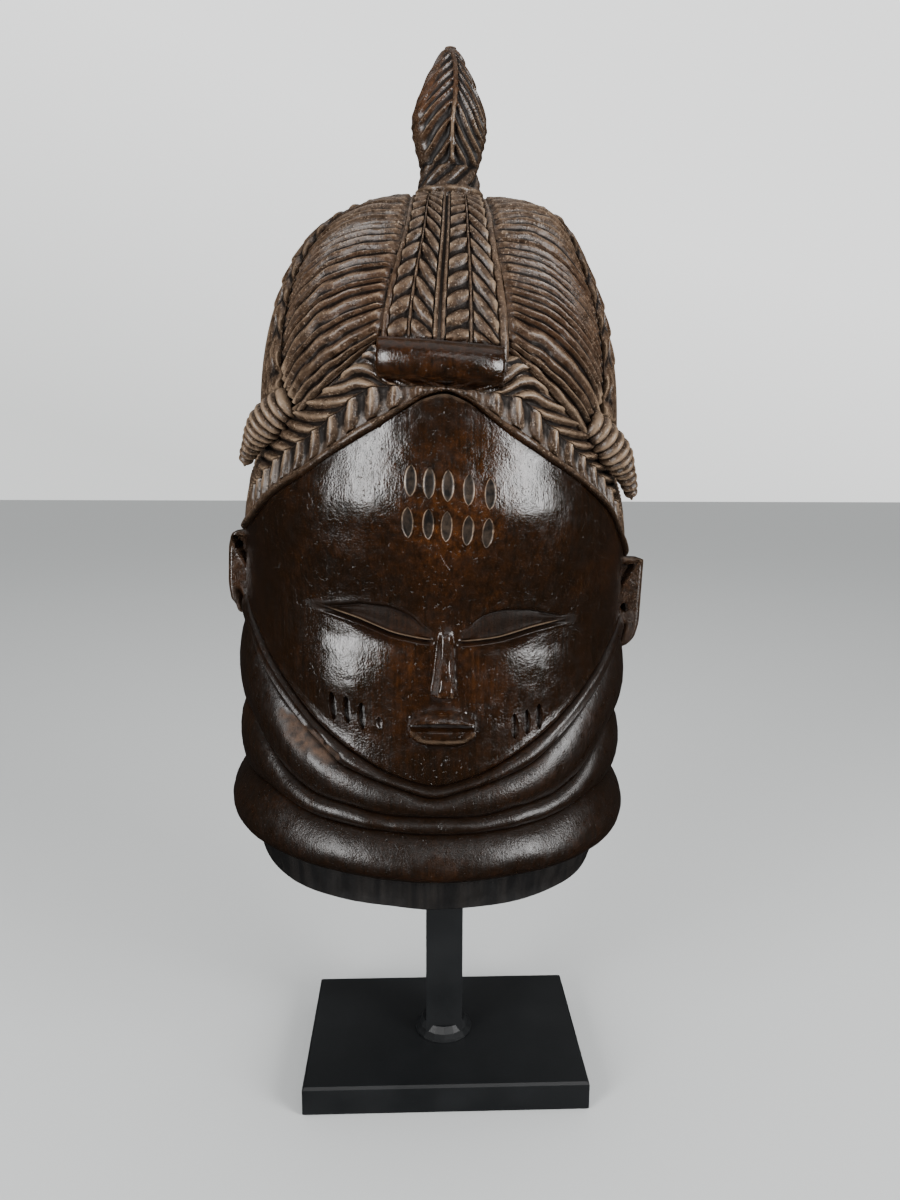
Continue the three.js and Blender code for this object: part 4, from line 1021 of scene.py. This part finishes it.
def oiled_dyed_wood():
    """Light carving wood, knife-cut, dyed black with leaves and rubbed with oil.

    The eye sees a black that is glossy on smooth parts and dull in the cuts, brown where hands have rubbed it,
    and paler along the edges of the hair, with fine upright grain, pits and drying cracks. The paler edges are
    partly wear and partly a painted highlight, the cuts are darkened with a painted shade, the scars' pale rims
    are a painted highlight, and the hair's lighter tone is partly dust and partly painted light.
    """
    material, tree = new_material("oiled_dyed_wood")
    place = add(tree, "TexCoord", (), "Object")
    upright = add(tree, "Mapping", {"Scale": (1, 1, 0.05), "Vector": place})
    tone = {
        name: add(tree, "Attribute", (), "Fac", attribute_name=name)
        for name in ("relief", "hair", "dull", "rough_rim", "bare", "scar", "rubbed")
    }
    # Size of the lumps in millimetres, their detail, and whether they run upright with the grain
    pattern = {}
    for name, size, detail, along in [
        ("grain", 1.1, 4, upright), ("chops", 5, 2, upright), ("broad", 34, 3, place),
        ("fine", 3.2, 4, place), ("specks", 0.8, 2, place), ("pits", 1.5, 2, place),
        ("crooked", 11, 3, place), ("dry", 16, 2, place), ("chipped", 3.4, 3, place), ("polish", 5, 4, place),
    ]:
        lumps = {"Scale": per_mm(size), "Detail": detail, "Roughness": 0.55, "Vector": along}
        pattern[name] = add(tree, "TexNoise", lumps)
    grain, fine, broad = pattern["grain"], pattern["fine"], pattern["broad"]
    half_and_half = add(tree, "Math", (grain, fine), operation="ADD")

    # Where each thing shows, from 0 to 1
    mottled = add(tree, "Math", (fine, 0.35, broad), operation="MULTIPLY_ADD")
    worn = add(tree, "MapRange", (mottled, 0.7, 0.92))
    uneven = add(tree, "Math", (broad, fine), operation="ADD")
    uneven = add(tree, "MapRange", (uneven, 0.7, 1.2))
    rubbed = add(tree, "Math", (tone["rubbed"], uneven), operation="MULTIPLY")
    rubbed_hair = add(tree, "Math", (rubbed, 0.8), operation="MULTIPLY")
    # Ridges and raised edges, strongest on the hair, painted paler: partly wear, partly a painted highlight
    edge = add(tree, "Math", (fine, 0.5, tone["relief"]), operation="MULTIPLY_ADD")
    high = add(tree, "MapRange", (edge, 0.8, 1.7))
    on_hair = add(tree, "MapRange", (tone["hair"], 0, 1, 0.4, 0.56))
    high = add(tree, "Math", (high, on_hair), operation="MULTIPLY")
    # Low parts, the cuts between strands and leaves: the colour there is darkened as a painted shade, and they
    # are also made matt
    deep = add(tree, "MapRange", (tone["relief"], -0.1, -0.8))
    painted_cut_shade = add(tree, "Math", (deep, 0.9), operation="MULTIPLY")
    pits = add(tree, "MapRange", (pattern["pits"], 0.33, 0.27))
    crooked = add(tree, "Math", (pattern["crooked"], 0.5), operation="SUBTRACT")
    crooked = add(tree, "Math", (crooked,), operation="ABSOLUTE")
    crooked = add(tree, "MapRange", (crooked, 0.01, 0.003))
    dry = add(tree, "MapRange", (pattern["dry"], 0.52, 0.6))
    cracks = add(tree, "Math", (crooked, dry), operation="MULTIPLY")
    holes = add(tree, "Math", (pits, cracks), operation="MAXIMUM")
    holes = add(tree, "Math", (holes, 0.5), operation="MULTIPLY")
    specks = add(tree, "MapRange", (pattern["specks"], 0.6, 0.72))
    dark_hair = add(tree, "MapRange", (broad, 0.5, 0.68, 0, 0.6))
    hair = add(tree, "Math", (tone["hair"], 0.85), operation="MULTIPLY")
    scar_inside = add(tree, "MapRange", (tone["scar"], 0.6, 0.3))
    # A pale rim along the edge of each scar: a painted highlight
    scar_rim_highlight = add(tree, "MapRange", (tone["scar"], 0.04, 0.2))
    scar_rim_highlight = add(tree, "Math", (scar_rim_highlight, scar_inside), operation="MULTIPLY")
    thin = add(tree, "MapRange", (fine, 0.38, 0.6, 0.15, 0.7))
    scar_rim_highlight = add(tree, "Math", (scar_rim_highlight, thin), operation="MULTIPLY")

    # Woods of two shades: the pattern that mixes them, its range, the darker and the lighter shade
    shades = {}
    for name, mixing, least, most, dark, light in [
        ("dyed", grain, 0.35, 0.7, "#0e0804", "#170c05"),
        ("worn", grain, 0.36, 0.7, "#150a04", "#271507"),
        ("rubbed", half_and_half, 0.64, 1.36, "#1c0d04", "#48270e"),
        ("hair", fine, 0.32, 0.72, "#261b12", "#514134"),
        ("scar", pattern["chipped"], 0.34, 0.7, "#0d0a08", "#30271f"),
        ("bare", fine, 0.34, 0.7, "#20150d", "#453122"),
        ("rim", pattern["chops"], 0.42, 0.62, "#040303", "#110e0c"),
    ]:
        share = add(tree, "MapRange", (mixing, least, most))
        shades[name] = add(tree, "Mix", {0: share, 6: linear(dark), 7: linear(light)}, 2, data_type="RGBA")

    # Layers of colour, each over the one before; the pale edge layer is partly wear and partly a painted
    # highlight, and the darkest layer in the cuts is a painted shade
    # The hair's tone: dust and wax in the carving, and partly painted light, lighter because the hair faces up
    # to the light
    hair_dust_and_light_tone = shades["hair"]
    for share, layer in [(specks, "#8d7c6b"), (dark_hair, "#22160d"), (rubbed_hair, "#4a2c17")]:
        hair_dust_and_light_tone = add(tree, "Mix", {0: share, 6: hair_dust_and_light_tone, 7: linear(layer)}, 2, data_type="RGBA")
    colour = shades["dyed"]
    for share, layer in [
        (worn, shades["worn"]), (rubbed, shades["rubbed"]), (hair, hair_dust_and_light_tone), (high, linear("#87735f")),
        (painted_cut_shade, linear("#080504")), (holes, linear("#070403")), (tone["scar"], shades["scar"]),
        (scar_rim_highlight, linear("#94806c")), (tone["bare"], shades["bare"]), (tone["rough_rim"], shades["rim"]),
    ]:
        colour = add(tree, "Mix", {0: share, 6: colour, 7: layer}, 2, data_type="RGBA")

    # How matt it is: the oil's polish, and more where the surface is cut, worn or flaked
    rough = add(tree, "MapRange", (pattern["polish"], 0.3, 0.7, 0.12, 0.27))
    opened = add(tree, "Math", (tone["bare"], tone["scar"]), operation="MAXIMUM")
    for part, more in [
        (tone["hair"], 0.1), (tone["dull"], 0.14), (deep, 0.3), (tone["rough_rim"], 0.4), (opened, 0.4),
    ]:
        rough = add(tree, "Math", (part, more, rough), operation="MULTIPLY_ADD")

    # Oil that has gone from the rough and hollow parts reflects less
    hair_cuts = add(tree, "Math", (deep, tone["hair"]), operation="MULTIPLY")
    lost = 0.0
    for part, loss in [
        (tone["rough_rim"], 0.32), (tone["scar"], 0.42), (hair_cuts, 0.4), (tone["dull"], 0.16),
        (tone["hair"], 0.288),
    ]:
        loss = add(tree, "Math", (part, loss), operation="MULTIPLY")
        lost = add(tree, "Math", (loss, lost), operation="MAXIMUM")
    shine = add(tree, "Math", (0.5, lost), operation="SUBTRACT")

    # Grain, pores, pits and cracks as small heights
    height = 0.0
    for part, share in [(grain, 0.25), (pattern["specks"], 0.25), (fine, 0.45), (pits, -0.45), (cracks, -0.1)]:
        height = add(tree, "Math", (part, share, height), operation="MULTIPLY_ADD")
    bump = add(tree, "Bump", {"Strength": 0.7, "Distance": 0.0005, "Height": height})
    surface = add(tree, "BsdfPrincipled", {
        "Base Color": colour, "Roughness": rough, "Specular IOR Level": shine, "IOR": 1.55, "Normal": bump,
    })
    add(tree, "OutputMaterial", {"Surface": surface})
    return material


def powder_coated_steel():
    """Steel bar and plate under a baked powder coat.

    The eye sees a matte black with a soft sheen, a faint orange-peel and a little dust. The peel is drawn as
    coarse as it needs to show.
    """
    material, tree = new_material("powder_coated_steel")
    place = add(tree, "TexCoord", (), "Object")
    peel = add(tree, "TexNoise", {"Scale": per_mm(0.9), "Detail": 2.0, "Vector": place})
    dust = add(tree, "TexNoise", {"Scale": per_mm(30), "Detail": 5.0, "Vector": place})
    rough = add(tree, "MapRange", (dust, 0.3, 0.7, 0.42, 0.55))
    colour = add(tree, "Mix", {0: dust, 6: linear("#08090a"), 7: linear("#101214")}, 2, data_type="RGBA")
    bump = add(tree, "Bump", {"Strength": 0.25, "Distance": 0.0002, "Height": peel})
    coat = {"Base Color": colour, "Roughness": rough, "IOR": 1.5, "Normal": bump}
    add(tree, "OutputMaterial", {"Surface": add(tree, "BsdfPrincipled", coat)})
    return material


def pale_floor_paint():
    """Rolled matt floor paint: the eye sees an even pale grey."""
    material, tree = new_material("pale_floor_paint")
    surface = add(tree, "BsdfPrincipled", {"Base Color": linear("#c8caca"), "Roughness": 0.7})
    add(tree, "OutputMaterial", {"Surface": surface})
    return material


# Camera, floor and light

def place_camera():
    """In front, a little left of the middle, looking slightly down."""
    pitch, yaw, roll = (math.radians(a) for a in CAMERA_TURN)
    turned = Matrix.Rotation(yaw, 3, "Z") @ Matrix.Rotation(pitch, 3, "X") @ Matrix.Rotation(roll, 3, "Y")
    right, forward, up = (turned.col[k] for k in range(3))
    data = bpy.data.cameras.new("camera")
    data.lens = CAMERA_LENS
    data.sensor_width = 36
    data.clip_start = 0.01
    camera = placed("camera", data)
    facing_mask = Matrix((right, up, -forward)).transposed().to_4x4()
    camera.matrix_world = Matrix.Translation(CAMERA_PLACE) @ facing_mask
    bpy.context.scene.camera = camera


def soft_light(name, place, target, size, power):
    data = bpy.data.lights.new(name, "AREA")
    data.shape = "ELLIPSE"
    data.size, data.size_y = size
    data.energy = power
    light = placed(name, data)
    light.location = place
    light.rotation_euler = (Vector(target) - Vector(place)).to_track_quat("-Z", "Y").to_euler()
    light.visible_camera = False


def light_room():
    """Tall soft boxes left and right of the viewer, light from above, and a pale room, dim in reflections."""
    for name, light in LIGHTS.items():
        soft_light(name, *light)
    world = bpy.data.worlds.new("room")
    world.use_nodes = True
    tree = world.node_tree
    tree.nodes.clear()
    way = add(tree, "TexCoord", (), "Generated")
    up = add(tree, "SeparateXYZ", {"Vector": way}, "Z")
    across = add(tree, "SeparateXYZ", {"Vector": way}, "X")
    height = add(tree, "Math", (across, 0.35, up), operation="MULTIPLY_ADD")
    rise = add(tree, "MapRange", (height, -0.1, 0.3))
    wall = add(tree, "Mix", {0: rise, 6: linear("#d2d4d3"), 7: linear("#fcfdfd")}, 2, data_type="RGBA")
    in_gloss = add(tree, "LightPath", (), "Is Glossy Ray")
    shade = add(tree, "Mix", {0: in_gloss, 6: wall, 7: linear("#121314")}, 2, data_type="RGBA")
    on_matt = add(tree, "LightPath", (), "Is Diffuse Ray")
    strength = add(tree, "MapRange", (on_matt, 0, 1, 1.75, 0.75))
    light = add(tree, "Background", {"Color": shade, "Strength": strength})
    add(tree, "OutputWorld", {"Surface": light})
    bpy.context.scene.world = world


def lay_floor():
    mesh = bpy.data.meshes.new("floor")
    corners = [(FLOOR_HALF * x, FLOOR_HALF * y, 0) for x, y in [(-1, -1), (1, -1), (1, 1), (-1, 1)]]
    mesh.from_pydata(corners, [], [(0, 1, 2, 3)])
    mesh.materials.append(pale_floor_paint())
    floor = placed("floor", mesh)
    floor.visible_glossy = False


mask = carve_mask()
mask.data.materials.append(oiled_dyed_wood())
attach(mask, "root")
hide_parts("mask")

steel = powder_coated_steel()
for name in ("post", "base_plate"):
    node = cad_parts[name]
    node.data.materials.clear()
    node.data.materials.append(steel)

place_camera()
light_room()
lay_floor()
